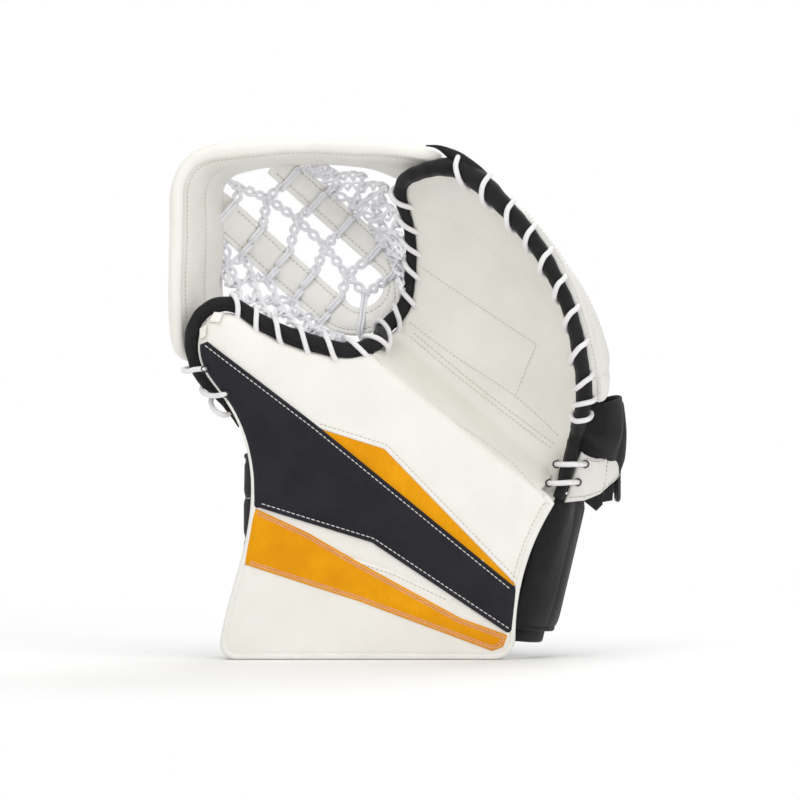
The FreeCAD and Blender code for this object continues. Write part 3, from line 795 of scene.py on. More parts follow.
def make_cuff():
    flat, faces = triangulate(cuff_loop, (0.4, 1.2, 2.4, 4.0, 6.0), 4.2, (WEDGE_EDGE, FACET_SEAM, STITCHED_LIP))
    back = cuff_half(flat) * 0.94
    walls = [(0.7, 0.06), (1.2, 0.2), (1.35, 0.5), (1.2, 0.8), (0.7, 0.94)]
    points, faces = closed_plate(flat, faces, cuff_front(flat), back, walls)
    body = mesh_object("cuff_body", points, faces, WHITE)
    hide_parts("cuff_skin", "cuff_foam", "edge_piping")
    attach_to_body(body, "cuff_thumb")
    board = frame["nodes"]["cuff_board"]
    board.data.materials.clear()
    board.data.materials.append(BOARD)

    threads = Build()
    for line, away in ((STITCHED_LIP, 0.0), (FACET_SEAM, 2.2)):
        row = resample(offset_line(resample(line, 3.0), away), 1.5)
        stitch_row(threads, on_cuff(row), normals_of(cuff_front, row), 3.3, 2.1, 0.3, 0.05)
    low = int(np.argmin(np.linalg.norm(cuff_loop - (108.0, 18.0), axis=1)))
    right = cuff_loop[low:heel_corner - 2] - outward_normals(cuff_loop)[low:heel_corner - 2] * 5.4
    right = resample(right, 1.5)
    stitch_row(threads, on_cuff(right), normals_of(cuff_front, right), 3.3, 2.1, 0.3, 0.05)
    obj = threads.object("cuff_stitches", PALE_THREAD)
    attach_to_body(obj, "cuff_thumb")


def make_panel(node, name, material, thickness, hem, stitch_insets, thread, pitch=STITCH_PITCH, zigzag=False, rise=0.0):
    """A sewn overlay: rolled hem along its free edges, pressed rows under its stitches, edges tucked under the rim."""
    loop = resample(anticlockwise(front_loops(node)[0]), 1.6, True)
    normals = outward_normals(loop)
    loop = loop + normals * rise * np.maximum(normals @ (0.64, 0.77), 0)[:, None]
    rim_gap = line_distance(loop, cuff_loop, True)
    tucked = rim_gap < 4.2
    normals = outward_normals(loop)
    nearest = KDTree(len(cuff_loop))
    for i, p in enumerate(cuff_loop):
        nearest.insert((p[0], p[1], 0), i)
    nearest.balance()
    outward = outward_normals(cuff_loop)
    grown = loop.copy()
    for i in np.nonzero(tucked)[0]:
        k = nearest.find((loop[i][0], loop[i][1], 0))[1]
        grown[i] = cuff_loop[k] - outward[k] * 0.5
    keep = np.linalg.norm(grown - np.roll(grown, 1, axis=0), axis=1) > 0.3
    grown, free = grown[keep], ~tucked[keep]
    # the free edge, as separate runs
    start = int(np.argmax(~free)) if (~free).any() else 0
    grown, free = np.roll(grown, -start, axis=0), np.roll(free, -start)
    runs, run = [], []
    for p, is_free in zip(grown, free):
        if is_free:
            run.append(p)
        elif run:
            runs.append(np.array(run))
            run = []
    if run:
        runs.append(np.array(run))
    runs = [r for r in runs if len(r) > 3]

    def to_hem(points):
        return np.min([line_distance(points, r) for r in runs], axis=0)

    def front(points):
        e = to_hem(points)
        height = thickness * rounded(e, 0.9) + hem * bump(e - 1.3, 0.9)
        for inset in stitch_insets:
            height = height - 0.35 * bump(e - inset, 0.65)
        return -cuff_half(points) - height - 0.9 * smooth(e / 14) - waves(points, 30, 0.35, 5.0) * smooth(e / 6)

    flat, faces = triangulate(grown, (0.3, 0.8, 1.4, 2.1, 2.6, 3.1, 3.7, 4.6), 3.6)
    top = front(flat)
    points, faces = closed_plate(flat, faces, top, -cuff_half(flat) + 1.0)
    panel = mesh_object(name, points, faces, material)
    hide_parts(node)
    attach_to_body(panel, "cuff_thumb")
    if thread is None:
        return front
    threads = Build()
    for line in runs:
        for inset in stitch_insets:
            row = resample(offset_line(resample(line, 2.5), -inset), 1.2)
            row = row[inside(row, grown) & (to_hem(row) > inset * 0.9)]
            if len(row) < 4:
                continue
            if zigzag:
                sway = np.where(np.arange(len(row)) % 2 == 0, 0.45, -0.45)[:, None]
                along = unit(np.gradient(row, axis=0))
                row = row + np.stack([along[:, 1], -along[:, 0]], axis=1) * sway
            stitch_row(threads, on_cuff(row, 0, front), normals_of(front, row), pitch, pitch * 0.72, 0.36, 0.1)
    obj = threads.object(name + "_stitches", thread)
    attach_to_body(obj, "cuff_thumb")
    return front


def make_graphics():
    make_panel("yellow_wedge", "amber_wedge", AMBER, 0.35, 0.0, (), None)
    make_panel("yellow_band", "amber_band", AMBER, 1.1, 0.35, (1.7, 3.3), PEACH_THREAD, 2.6, True)
    make_panel("black_panel", "black_panel_skin", BLACK, 1.7, 0.75, (3.3,), THREAD, rise=2.6)


def make_piping():
    """Rolled seams round the free rim of the cuff, front and back."""
    first = int(np.argmin(np.linalg.norm(cuff_loop - (-100.0, 186.0), axis=1)))
    rim = cuff_loop[first:heel_corner + 1]
    normals = outward_normals(cuff_loop)[first:heel_corner + 1]
    for name, depth, radius in (("front_piping", -9.3, 2.5), ("back_piping", 9.2, 2.1)):
        path = rim - normals * 1.2
        path = np.stack([path[:, 0], np.full(len(path), depth), path[:, 1]], axis=1)
        path[:, 1] += waves(path, 40, 0.5, 2.0)
        build = Build()
        build.tube(resample(path, 2.0), radius, 12)
        obj = build.object(name, PIPING)
        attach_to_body(obj, "cuff_thumb")


make_cuff()
make_graphics()
make_piping()


# ---- palm ---------------------------------------------------------------------------------------------
PALM_ROWS, PALM_COLUMNS = 120, 96
PALM_THICKNESS = 2.4
PAD_EDGE = [(41, 325.5), (64.5, 318), (84, 306), (103, 287), (116, 267), (124, 248), (125.5, 232)]


def palm_point(b, w):
    """The whole palm: w from -1 at the cuff's edge, 0 at the fold, to 1 at the rim."""
    b, w = np.broadcast_arrays(np.asarray(b, float), np.asarray(w, float))
    thumb_side = thumb_palm_point(b, 1 + np.minimum(w, 0))
    finger_side = finger_point(b, np.maximum(w, 0) * 0.985)
    return np.where((w < 0)[..., None], thumb_side, finger_side)


def rim_reach(b):
    """How far the page is drawn out at its rim to end in the middle of the binding, for rows b."""
    roll = resample(spline(binding_path())(np.linspace(0, 1, 900)), 2.0)
    rim = finger_point(b, 0.985)
    nearest = np.array([roll[int(np.argmin(np.linalg.norm(roll - p, axis=1)))] for p in rim])
    return (nearest - rim) * np.clip(np.linalg.norm(nearest - rim, axis=1, keepdims=True) / 12, 0, 1)


def make_palm():
    b = np.linspace(0.0, 0.995, PALM_ROWS)[:, None]
    w = np.concatenate([np.linspace(-1.12, -0.02, 26), np.linspace(0.0, 1.0, PALM_COLUMNS - 26)])[None]
    grid = palm_point(b, w)
    grid = grid + rim_reach(b[:, 0])[:, None] * smooth((w - 0.45) / 0.55)[..., None]
    normal = grid_normals(grid)
    normal = normal * np.sign((normal * (0, -1, 0)).sum(2).mean())
    # creases that run along the fold, and slack over the pocket
    t = across_fold(grid)
    slack = waves(grid[..., [0, 2]], 60, 1.5, 4.0) + waves(grid[..., [0, 2]], 24, 0.45, 6.0)
    crease = 0.9 * bump(t - 1.5, 2.2) + 0.5 * bump(t - 9.0, 1.8) + 0.35 * bump(t + 9.0, 2.0)
    edge = smooth(edge_distance(grid) / 9)
    ridge = spline(PAD_EDGE)(np.linspace(0, 1, 80))
    slack = slack + 0.8 * bump(line_distance(grid[..., [0, 2]].reshape(-1, 2), ridge).reshape(t.shape), 2.6)
    front = grid + normal * (slack * edge - crease * edge)[..., None]
    back = front - normal * PALM_THICKNESS
    points, faces = closed_sheet(front, back)
    palm = mesh_object("palm_leather", points, faces, PALM)
    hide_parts("palm_finger_side", "palm_thumb_side")
    tree = surface_of(palm)

    threads = Build()
    for line in palm_stitch_lines():
        place, normals = drop(tree, resample(line, 1.4))
        stitch_row(threads, place, normals, 3.3, 2.2, 0.3, 0.05)
    obj = threads.object("palm_stitches", PALE_THREAD)
    blend_fold(obj)
    blend_fold(palm)
    return tree


def palm_stitch_lines():
    """Rows of stitches as seen from the front: the pocket patch, the seams of the fold and the cuff's edge seam."""
    patch = [(38.4, 284.9), (124.5, 226.5), (109.5, 189)]
    long_seams = (((32.3, 243.7), (66, 218), (109.5, 189), (141, 160)), ((34.8, 236), (66.7, 209), (138, 154)),
                  ((3.6, 222.6), (23.9, 199.4), (107.3, 139.9), (130.5, 113.8)))
    lines = [np.array(patch, float)]
    for seam in long_seams:
        lines.append(spline(seam)(np.linspace(0, 1, 60)))
    return lines + [offset_line(resample(lines[2], 4.0), 3.6)]


# ---- bindings and laces -------------------------------------------------------------------------------
# Middle of the black roll, as (x, depth, z): up the thumb's edge, round its tip and along the pocket
THUMB_ROLL = [(-91, 5, 167), (-96, 4, 177), (-102.5, 3, 187), (-110, 2, 195), (-118, 1, 203), (-123.5, 0, 214),
              (-125.8, 0, 227), (-124, -1, 239.5), (-117, -2, 250), (-105.5, -3, 255.5), (-93.5, -4, 254.5),
              (-84, -4, 248), (-68, -4, 238.6), (-48.5, -4, 230.8), (-29.5, -5, 225), (-12.5, -6, 221.5)]
# The same roll down the fingers' edge, as (x, z); its depth comes from the page
RIM_ROLL = [(66, 352), (79, 345), (96.5, 328.5), (111, 312.5), (124, 295.5), (135.5, 275.5), (144.5, 256.5),
            (151.5, 234.5), (156.5, 208), (158.5, 190), (156.5, 174.5)]
HEEL_STRIP = [(152.5, 9, 158), (150, 6, 147), (146, 4, 132), (140.5, 3, 115)]
# Where the laces cross the front of the roll, as (x, z)
THUMB_TURNS = [(-91.5, 252), (-78.4, 243.2), (-62.8, 237), (-42.4, 230.3), (-23.3, 224.3), (-4.4, 222.5), (8, 227)]
POCKET_TURNS = [(18, 231), (27.5, 243.8), (31, 260.6), (34, 279.9), (33.5, 296.7), (31.3, 311.2), (28, 329)]
RIM_TURNS = [(71.5, 349), (90.3, 336), (105.9, 317.6), (117.8, 302.3), (129.3, 284.6), (138.6, 265), (148.4, 244.3),
             (155.2, 219), (159.5, 197.6), (161.6, 185.5), (158.8, 176)]
FRONT_SHARE = 0.86


def rim_depth(x, z):
    """Depth of the finger page's rim beside a place."""
    b = np.linspace(0.03, 1, 200)
    rim = cupped_point(b, 1.0)
    nearest = int(np.argmin(np.hypot(rim[:, 0] - x, rim[:, 2] - z)))
    return rim[nearest, 1]


def binding_path():
    """Middle of the black roll: round the thumb, along the pocket, up the finger page, and down its rim."""
    points = [np.array(p, float) for p in THUMB_ROLL]
    for b, v in ((1.02, 0.25), (1.03, 0.55), (1.035, 0.85)):
        points.append(thumb_palm_point(b, v) + (1.0, 0, 1.5))
    for q in (0.03, 0.15, 0.28, 0.42, 0.56, 0.68, 0.78, 0.88):
        end, before = finger_point(1.0, q), finger_point(0.95, q)
        points.append(end + unit(end - before) * 2.6)
    points += [np.array((x, rim_depth(x, z), z)) for x, z in RIM_ROLL]
    return np.array(points + [np.array(p, float) for p in HEEL_STRIP])


def share_near(path, x, z):
    """Where along a path, as a share of its length, it passes closest to a place seen from the front."""
    run = run_length(path)
    return run[int(np.argmin(np.hypot(path[:, 0] - x, path[:, 2] - z)))] / run[-1]


def make_bindings():
    path = resample(spline(binding_path())(np.linspace(0, 1, 900)), 1.6)
    run = run_length(path)
    share = run / run[-1]
    # tapered at its start, narrow up the pocket, wide and flat over the fingertips
    stops = [(0.0, 1.2), (share_near(path, -102.5, 187), 4.6), (share_near(path, -125, 227), 5.0),
             (share_near(path, -105, 255), 5.4), (share_near(path, -48, 232), 6.4), (share_near(path, 4, 223), 6.4),
             (share_near(path, 26, 244), 5.6), (share_near(path, 34, 286), 4.0), (share_near(path, 30, 320), 4.2),
             (share_near(path, 36, 355), 5.8), (share_near(path, 79, 345), 9.0), (share_near(path, 111, 312), 7.2),
             (share_near(path, 145, 256), 5.8), (share_near(path, 158, 190), 6.6), (share_near(path, 150, 147), 5.2),
             (1.0, 4.4)]
    radius = np.interp(share, *np.array(stops).T)
    radius = radius * (1 + 0.035 * np.sin(run / 5.3) + 0.03 * np.sin(run / 2.1 + 1))
    build = Build()
    build.tube(path, radius, 20, flat=0.86)
    roll = build.object("edge_binding", BINDING)
    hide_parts("thumb_edge_binding", "finger_edge_binding", "pocket_edge_binding", "heel_binding")

    # a sewn ridge along the roll, where the tape's edge is turned under
    _, side, ups = frames_along(path, (0, -1, 0))
    ridge = path + ups * (radius * 0.80)[:, None] + side * (radius * 0.5)[:, None]
    seam = Build()
    seam.tube(ridge, 0.75, 6, flat=0.6)
    ridge_obj = seam.object("binding_seam", BINDING)
    lace_path(path, radius)
    blend_fold(roll)
    blend_fold(ridge_obj)
    return path, radius


def whip(path, radius, places, sense, shift=0.0):
    """A lace whipped over a roll: it crosses the front on a long slant at each place and comes straight back behind."""
    run = run_length(path)
    marks = np.sort([share_near(path, x, z) * run[-1] for x, z in places]) + shift
    half = np.diff(marks) / 2
    before, after = np.append(half[:1], half), np.append(half, half[-1:])
    phases, along = [-0.5], [marks[0] - before[0]]
    for k, mark in enumerate(marks):
        phases += [k - 0.25, k, k + 0.25, k + 0.5]
        along += [mark - before[k] * FRONT_SHARE, mark, mark + after[k] * FRONT_SHARE, mark + after[k]]
    phase = np.linspace(phases[0], phases[-1], 70 * len(marks))
    where = np.interp(phase, phases, along)
    wide = np.convolve(np.pad(where, 4, mode="edge"), np.ones(9) / 9, mode="valid")
    turn = math.pi / 2 + sense * 2 * math.pi * phase
    _, side, ups = frames_along(path, (0, -1, 0))
    inner = np.cross(np.gradient(path, axis=0), ups)
    side = side * np.sign((side * inner).sum())
    at = np.column_stack([np.interp(wide, run, column) for column in np.hstack([path, side, ups, radius[:, None]]).T])
    reach = at[:, 9:] + LACE_RADIUS * 0.55
    across, front = np.cos(turn)[:, None], np.sin(turn)[:, None]
    inward = np.maximum(across, 0)
    line = at[:, :3] + at[:, 3:6] * across * reach * (1.12 + 0.16 * inward)
    line = line + at[:, 6:9] * front * reach * (0.94 + 0.3 * inward * (front > 0))
    return resample(line, 0.9)


def lace_path(path, radius):
    """The laces along the thumb, up the pocket and down the rim, and the thumb's separate turns."""
    build = Build()
    for places, sense, shift in ((THUMB_TURNS, -1, 0), (POCKET_TURNS, 1, 0), (RIM_TURNS, -1, 4.0)):
        build.tube(whip(path, radius, places, sense, shift), LACE_RADIUS, 9)
    obj = build.object("rim_lace", LACE)
    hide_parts("finger_lace")
    blend_fold(obj)

    # two turns round the thumb's side, each from behind the roll into an eyelet in the panel, and a slack loop
    build, holes = Build(), Build()
    turns = (((-127, 7, 209.5), (-131.5, 0, 208), (-128, -6.5, 207.2), (-121.5, -9.5, 208.6), (-116.5, -13.2, 208.6),
              (-115.3, -8, 208.6)),
             ((-112, 8, 199), (-118.5, 2, 194.5), (-115, -6, 190.5), (-108, -10.5, 189.4), (-101.5, -14, 190.4),
              (-100, -9, 190.6)),
             ((-106, 9, 193), (-111.5, 5, 187.5), (-109.8, 0, 180), (-104.8, -2.5, 176.2), (-100, 1, 175.6),
              (-97, 6, 178)))
    for turn in turns:
        build.tube(resample(spline(turn)(np.linspace(0, 1, 60)), 1.0), LACE_RADIUS, 9)
    for x, z in ((-115.6, 208.6), (-100.4, 190.6)):
        eyelet(holes, np.array((x, -14.6, z)), np.array((0, -1.0, 0)), 2.2)
    obj = build.object("thumb_side_lace", LACE)
    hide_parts("thumb_lace")
    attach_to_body(obj, "cuff_thumb")
    obj = holes.object("thumb_eyelets", METAL)
    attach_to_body(obj, "cuff_thumb")


palm_tree = make_palm()
binding_line, binding_radius = make_bindings()


# ---- T web --------------------------------------------------------------------------------------------
BAND_THICKNESS = 9.0
BAND_LINE = spline([(-126, 4, 212, -117, 14, 220), (-132.5, 3, 221, -112, 28, 232), (-135, 2, 234, -106, 40, 247),
                    (-135.3, -2, 252, -106, 52, 268), (-134.5, -6, 281, -106, 60, 300), (-133.5, -8, 324, -106, 62, 330),
                    (-130, -9, 347, -104, 62, 345), (-121, -10, 357.5, -98, 62, 352), (-109, -11, 361.5, -86, 62, 356),
                    (-88, -12, 364, -69, 61, 359), (-47, -16, 366, -41, 56, 361), (-11, -22, 365, -13, 46, 359.5),
                    (25, -31, 363, 8, 34, 355), (46, -35, 359, 24, 22, 348), (60, -34, 354, 38, 8, 343)])
BAND_SEAMS = (0.44, 0.90)
STEM_DEPTH = spline([(165, 48), (200, 64), (240, 73), (275, 71), (304, 62)])
BAR_THICKNESS = 7.0
WEB_MIDDLE = np.array([-40.0, 20.0, 290.0])


def stem_depth(s):
    table = STEM_DEPTH(np.linspace(0, 1, 200))
    return np.interp(s, table[:, 0], table[:, 1])


def band_section(c):
    """One closed ring of the band at c: up its inner wall, over the rolled rim and down its outer wall."""
    here, after, before = BAND_LINE(c), BAND_LINE(min(c + 0.004, 1)), BAND_LINE(max(c - 0.004, 0))
    rim, back = here[:3], here[3:]
    across = rim - back
    depth = np.linalg.norm(across)
    across = across / depth
    outward = unit(np.cross(after[:3] - before[:3], across))
    if outward @ ((rim + back) / 2 - WEB_MIDDLE) < 0:
        outward = -outward
    half = BAND_THICKNESS / 2
    reach = depth - half
    low, high = BAND_SEAMS
    w = np.linspace(0, 1, 44)
    puff = np.where(w < low, w / low, np.where(w < high, (w - low) / (high - low), (w - high) / (1.0001 - high)))
    height = np.where(w < low, 2.2, np.where(w < high, 2.6, 0.7)) * np.sqrt(np.maximum(np.sin(puff * math.pi), 0))
    ring = [np.stack([w * reach, -height], axis=1)]
    turn = np.linspace(-math.pi / 2, math.pi / 2, 16)[1:-1]
    ring.append(np.stack([reach + (half + 0.9) * np.cos(turn), half + (half + 0.9) * np.sin(turn)], axis=1))
    w = np.linspace(1, 0, 30)
    ring.append(np.stack([w * reach, BAND_THICKNESS + 1.3 * np.sqrt(np.maximum(np.sin(w * math.pi), 0))], axis=1))
    turn = np.linspace(math.pi / 2, -math.pi / 2, 8)[1:-1]
    ring.append(np.stack([-half * np.cos(turn), half + half * np.sin(turn)], axis=1))
    ring = np.vstack(ring)
    return back + across * ring[:, :1] + outward * ring[:, 1:]


def make_band():
    count = 210
    shares = np.linspace(0, 1, count)
    grid = np.array([band_section(c) for c in shares])
    run = run_length(BAND_LINE(shares)[:, :3])
    # both ends close in on themselves, like a sewn end
    for from_end, reach in ((run, 16.0), (run[-1] - run, 10.0)):
        share = np.maximum(rounded(from_end, reach), 0.02)[:, None, None]
        middle = grid.mean(axis=1, keepdims=True)
        grid = middle + (grid - middle) * share
    normal = grid_normals(np.concatenate([grid, grid[:, :1]], axis=1))[:, :-1]
    facing = np.sign((normal * (grid - grid.mean(axis=1, keepdims=True))).sum(2).mean())
    slack = waves(grid, 34, 1.0, 2.0) + waves(grid, 13, 0.3, 7.0)
    grid = grid + normal * facing * slack[..., None]
    build = Build()
    points = np.vstack([grid.reshape(-1, 3), grid[0].mean(0, keepdims=True), grid[-1].mean(0, keepdims=True)])
    sides = grid.shape[1]
    faces = wrap_faces(count, sides)
    last = (count - 1) * sides
    faces += [(len(points) - 2, (j + 1) % sides, j) for j in range(sides)]
    faces += [(len(points) - 1, last + j, last + (j + 1) % sides) for j in range(sides)]
    build.add(points, faces)
    band = build.object("t_band", WHITE)
    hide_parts("t_band_thumb", "t_band_corner", "t_band_finger")

    threads = Build()
    for share in (BAND_SEAMS[1], BAND_SEAMS[0]):
        j = int(round(share * 43))
        path, normals = grid[6:-6, j], (normal * facing)[6:-6, j]
        fine = resample(np.hstack([path, normals]), 1.2)
        stitch_row(threads, fine[:, :3], unit(fine[:, 3:]), 3.2, 2.1, 0.3, 0.1)
    outer = 44 + 14 + 4
    path, normals = grid[6:-6, outer], (normal * facing)[6:-6, outer]
    fine = resample(np.hstack([path, normals]), 1.2)
    stitch_row(threads, fine[:, :3], unit(fine[:, 3:]), 3.2, 2.1, 0.3, 0.1)
    obj = threads.object("t_band_stitches", PALE_THREAD)
    blend_fold(obj)
    blend_fold(band)
    return grid


def make_stem():
    """The stem of the T: one U-shaped padded strap with a slot, its two arms stitched along both edges."""
    outer = spline([(190, -36), (180, -31), (169, -20), (163.5, -4), (167, 12), (180, 25), (195, 34), (206, 38.5)])
    outline = [(303, -38.5), (250, -38.5), (205, -38)] + [tuple(p) for p in outer(np.linspace(0, 1, 40))]
    outline += [(212, 39), (250, 39.5), (303, 39)]
    turn = np.linspace(math.pi / 2, 3 * math.pi / 2, 30)
    slot = [(303, 19.5)] + [(193 + 14 * math.cos(a), 3 + 16.5 * math.sin(a)) for a in turn] + [(318, -13.5)]
    loop = anticlockwise(resample(np.array(outline + slot), 2.2, True))
    flat, faces = triangulate(loop, (0.4, 1.2, 2.2, 3.2, 4.2, 5.4), 3.8)
    gap = line_distance(flat, loop, True)
    free = smooth((300 - flat[:, 0]) / 8)
    crown = 1.5 * smooth(gap / 10) + waves(flat, 22, 0.8, 3.0) * smooth(gap / 6) - 0.45 * bump(gap - 3.4, 0.8)
    pull = np.zeros(len(flat))
    for s, side in CROSSINGS:
        near = (np.sign(flat[:, 1] - 3) == side) & (np.abs(flat[:, 1] - 3) > 12)
        pull += np.where(near, 0.9 * bump(flat[:, 0] - s, 3.4), 0)
    height = (3.0 + 0.6 * rounded(gap, 3.0) * free + crown - pull)
    middle = stem_depth(flat[:, 0]) + BAR_SHIFT
    walls = [(0.5, 0.1), (0.9, 0.3), (0.9, 0.7), (0.5, 0.9)]
    points, faces = closed_plate(flat, faces, middle - height, middle + height, walls)
    placed = page(points[:, 0], points[:, 2], points[:, 1])
    # the stem is given the lighter copy of the white leather, painted light for the shade it lies in
    stem = mesh_object("t_stem", placed, faces, WEB_LEATHER_PAINTED_LIGHT)
    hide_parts("t_bar_thumb", "t_bar_finger")

    def front(points):
        inset = line_distance(points, loop, True)
        rise = 3.6 + 1.5 * smooth(inset / 10) + waves(points, 22, 0.8, 3.0) * smooth(inset / 6)
        return stem_depth(points[:, 0]) + BAR_SHIFT - rise + 0.3
    threads = Build()
    along = loop[(loop[:, 0] < 302) & ((loop[:, 0] < 300) | (np.abs(loop[:, 1] + 13.5) < 1))]
    cut = int(np.argmax(np.linalg.norm(along - np.roll(along, 1, axis=0), axis=1)))
    along = np.roll(along, -cut, axis=0)
    breaks = np.nonzero(np.linalg.norm(np.diff(along, axis=0), axis=1) > 6)[0]
    for run in np.split(along, breaks + 1):
        if len(run) < 6:
            continue
        row = resample(offset_line(run, -3.4), 1.4)
        row = row[line_distance(row, loop, True) > 2.8]
        depth = front(row)
        for side in (1, -1):
            offset = depth if side == 1 else 2 * (stem_depth(row[:, 0]) + BAR_SHIFT) - depth
            place = page(row[:, 0], row[:, 1], offset)
            stitch_row(threads, place, np.tile((0.0, -float(side), 0.0), (len(place), 1)), 3.4, 2.1, 0.3, 0.1)
    obj = threads.object("t_stem_stitches", PALE_THREAD)
    blend_fold(obj)
    blend_fold(stem)


def twisted(build, start, end, radius=1.55, pitch=17.5, spread=2.1, slack=0.0, phase=0.0):
    """Two cords twisted round each other between two knots."""
    start, end = np.asarray(start, float), np.asarray(end, float)
    gap = np.linalg.norm(end - start)
    count = max(int(gap / 0.7), 12)
    share = np.linspace(0, 1, count)
    line = start + (end - start) * share[:, None]
    line[:, 1] += slack * np.sin(share * math.pi)
    _, side, ups = frames_along(line, (0.0, -1.0, 0.001))
    turns = max(round(gap / pitch * 2), 1) / 2
    ease = np.sin(share * math.pi) ** 0.4 * spread + 0.25
    for k in (0, 1):
        turn = 2 * math.pi * turns * share + math.pi * k + phase
        cord_line = line + (side * np.cos(turn)[:, None] * 1.15 + ups * np.sin(turn)[:, None] * 0.85) * ease[:, None]
        build.tube(cord_line, radius, 8)


def knot(build, place, radius=1.4, size=2.2, tilt=0.0):
    """A tight overhand knot: a cord wound one and a half times round the meeting point."""
    turn = np.linspace(0, 2.6 * math.pi, 30) + tilt
    wobble = np.stack([np.cos(turn) * size, np.sin(turn * 0.5 + tilt) * size * 0.6, np.sin(turn) * size], axis=1)
    build.tube(np.asarray(place) + wobble, radius, 7)


def cord_run(build, points, radius=1.3, gap=1.25, spacing=1.4):
    """Two cords lying side by side along a path."""
    path = resample(spline(points)(np.linspace(0, 1, 60)), spacing)
    _, side, _ = frames_along(path, (0, -1, 0))
    for k in (-1, 1):
        build.tube(path + side * gap * k, radius, 7)


SLOT_NODES = [(291.5, 5), (265, 8), (235.5, 7), (209.5, 1.5), (189.5, 0)]
THUMB_CROSSINGS = [279, 252.5, 228, 201.5]
FINGER_CROSSINGS = [288, 262, 234.5, 205, 184]
SLOT_EDGES = {-1: -13.5, 1: 19.5}
EYELET_INSET = {-1: 14.0, 1: 17.0}
CROSSINGS = [(s, -1) for s in THUMB_CROSSINGS] + [(s, 1) for s in FINGER_CROSSINGS]
bar_low, bar_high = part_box("t_bar_thumb")
BAR_SHIFT = (3.5 if bar_high.y / MM > 76 else -3.5)


def make_slot_net():
    build, rings = Build(), Build()
    nodes = [page(s, t, stem_depth(s) + BAR_SHIFT + waves(np.array([[s, t]]), 9, 2.0, 1.0)[0]) for s, t in SLOT_NODES]
    for i, (a, b) in enumerate(zip(nodes, nodes[1:])):
        twisted(build, a, b, phase=0.7 * i, spread=2.0)
    for i, place in enumerate(nodes):
        knot(build, place, size=2.3, tilt=i)
    for side, crossings in ((-1, THUMB_CROSSINGS), (1, FINGER_CROSSINGS)):
        for i, s in enumerate(crossings):
            middle = stem_depth(s) + BAR_SHIFT
            edge = SLOT_EDGES[side]
            rim = page(s, edge + side, middle - 5.0)
            twisted(build, nodes[i], rim, phase=i * 1.3 + side)
            knot(build, page(s, edge - side * 0.5, middle - 3.5), size=1.9, tilt=i * 2.1)
            hole = EYELET_INSET[side]
            over = [page(s, edge + side * t, middle - d)
                    for t, d in ((0.5, 4.6), (3, 6.3), (8, 6.9), (hole - 2, 6.6), (hole + 0.5, 3.5))]
            cord_run(build, over, 1.3, 1.15)
            eyelet(rings, page(s, edge + side * hole, middle - 5.5), np.array([0, -1.0, 0]), 2.3)
            beyond = [page(s - 1.5, edge + side * t, middle - d)
                      for t, d in ((hole + 0.5, 3.5), (hole + 3, 6.6), (24, 6.2), (27, 2.0), (30, -1.0))]
            cord_run(build, beyond, 1.3, 1.15)
    # the highest knot is tied to the corner of the band, and the lowest down to the pocket edge
    corner = page(314, -4, stem_depth(300) - 4)
    twisted(build, corner, nodes[0], phase=2.0)
    knot(build, corner, size=2.3, tilt=1.0)
    cord_run(build, [corner, page(322, -5, stem_depth(300) - 7), page(334, -5, stem_depth(300) - 8)])
    over = page(306, -13, stem_depth(300) - 5)
    twisted(build, page(311, -3, stem_depth(300) - 3), over, phase=1.0)
    cord_run(build, [over] + [page(306, -t, stem_depth(300) - d) for t, d in ((17, 8), (26, 8.5), (34, 7.5), (41, 2))])
    down = [page(s, t, stem_depth(s) + BAR_SHIFT - d) for s, t, d in ((183, -10, 3), (178, -17, 6.8), (174, -23, 6.8))]
    cord_run(build, [nodes[-1]] + down + [page(167, -27, 51)])
    net = build.object("slot_net", NET)
    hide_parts("net_slot")
    blend_fold(net)
    holes = rings.object("bar_eyelets", PALE_THREAD)
    blend_fold(holes)


def mesh_net(build, first, second, columns, rows, sag, roughness, radius=1.25, spread=1.3):
    """A knotted diamond net between two edge curves, uneven like a laced one."""
    nodes = {}
    for j in range(rows + 1):
        shift = 0.5 * (j % 2)
        for i in range(columns + 1 - (j % 2)):
            u, v = (i + shift) / columns, j / rows
            a, b = first(u), second(u)
            place = a + (b - a) * v + np.array([0, sag * math.sin(math.pi * v), 0])
            nodes[i, j] = place + rng.normal(0, 1, 3) * roughness * math.sin(math.pi * v)
    for (i, j), place in nodes.items():
        for k in ((i, i - 1) if j % 2 == 0 else (i, i + 1)):
            if (k, j + 1) in nodes:
                twisted(build, place, nodes[k, j + 1], radius, 24, spread, rng.normal(0, 1.2), rng.uniform(0, 6))
        if 0 < j < rows:
            knot(build, place, radius, 2.4, rng.uniform(0, 6))
    return nodes


def loops_round(build, centre_line, reach, shares, radius=1.3):
    """Short loops where a net is hitched to an edge: each wraps over the edge line."""
    for share in shares:
        place = centre_line(share)
        turn = np.linspace(0, 2 * math.pi, 20)
        tangent = unit(centre_line(min(share + 0.01, 1)) - centre_line(max(share - 0.01, 0)))
        side = unit(np.cross(tangent, (0, 1, 0.01)))
        up = np.cross(side, tangent)
        ring = place + side * np.cos(turn)[:, None] * reach + up * np.sin(turn)[:, None] * reach
        ring += tangent * (turn - math.pi)[:, None] * 0.5
        build.tube(ring, radius, 7)


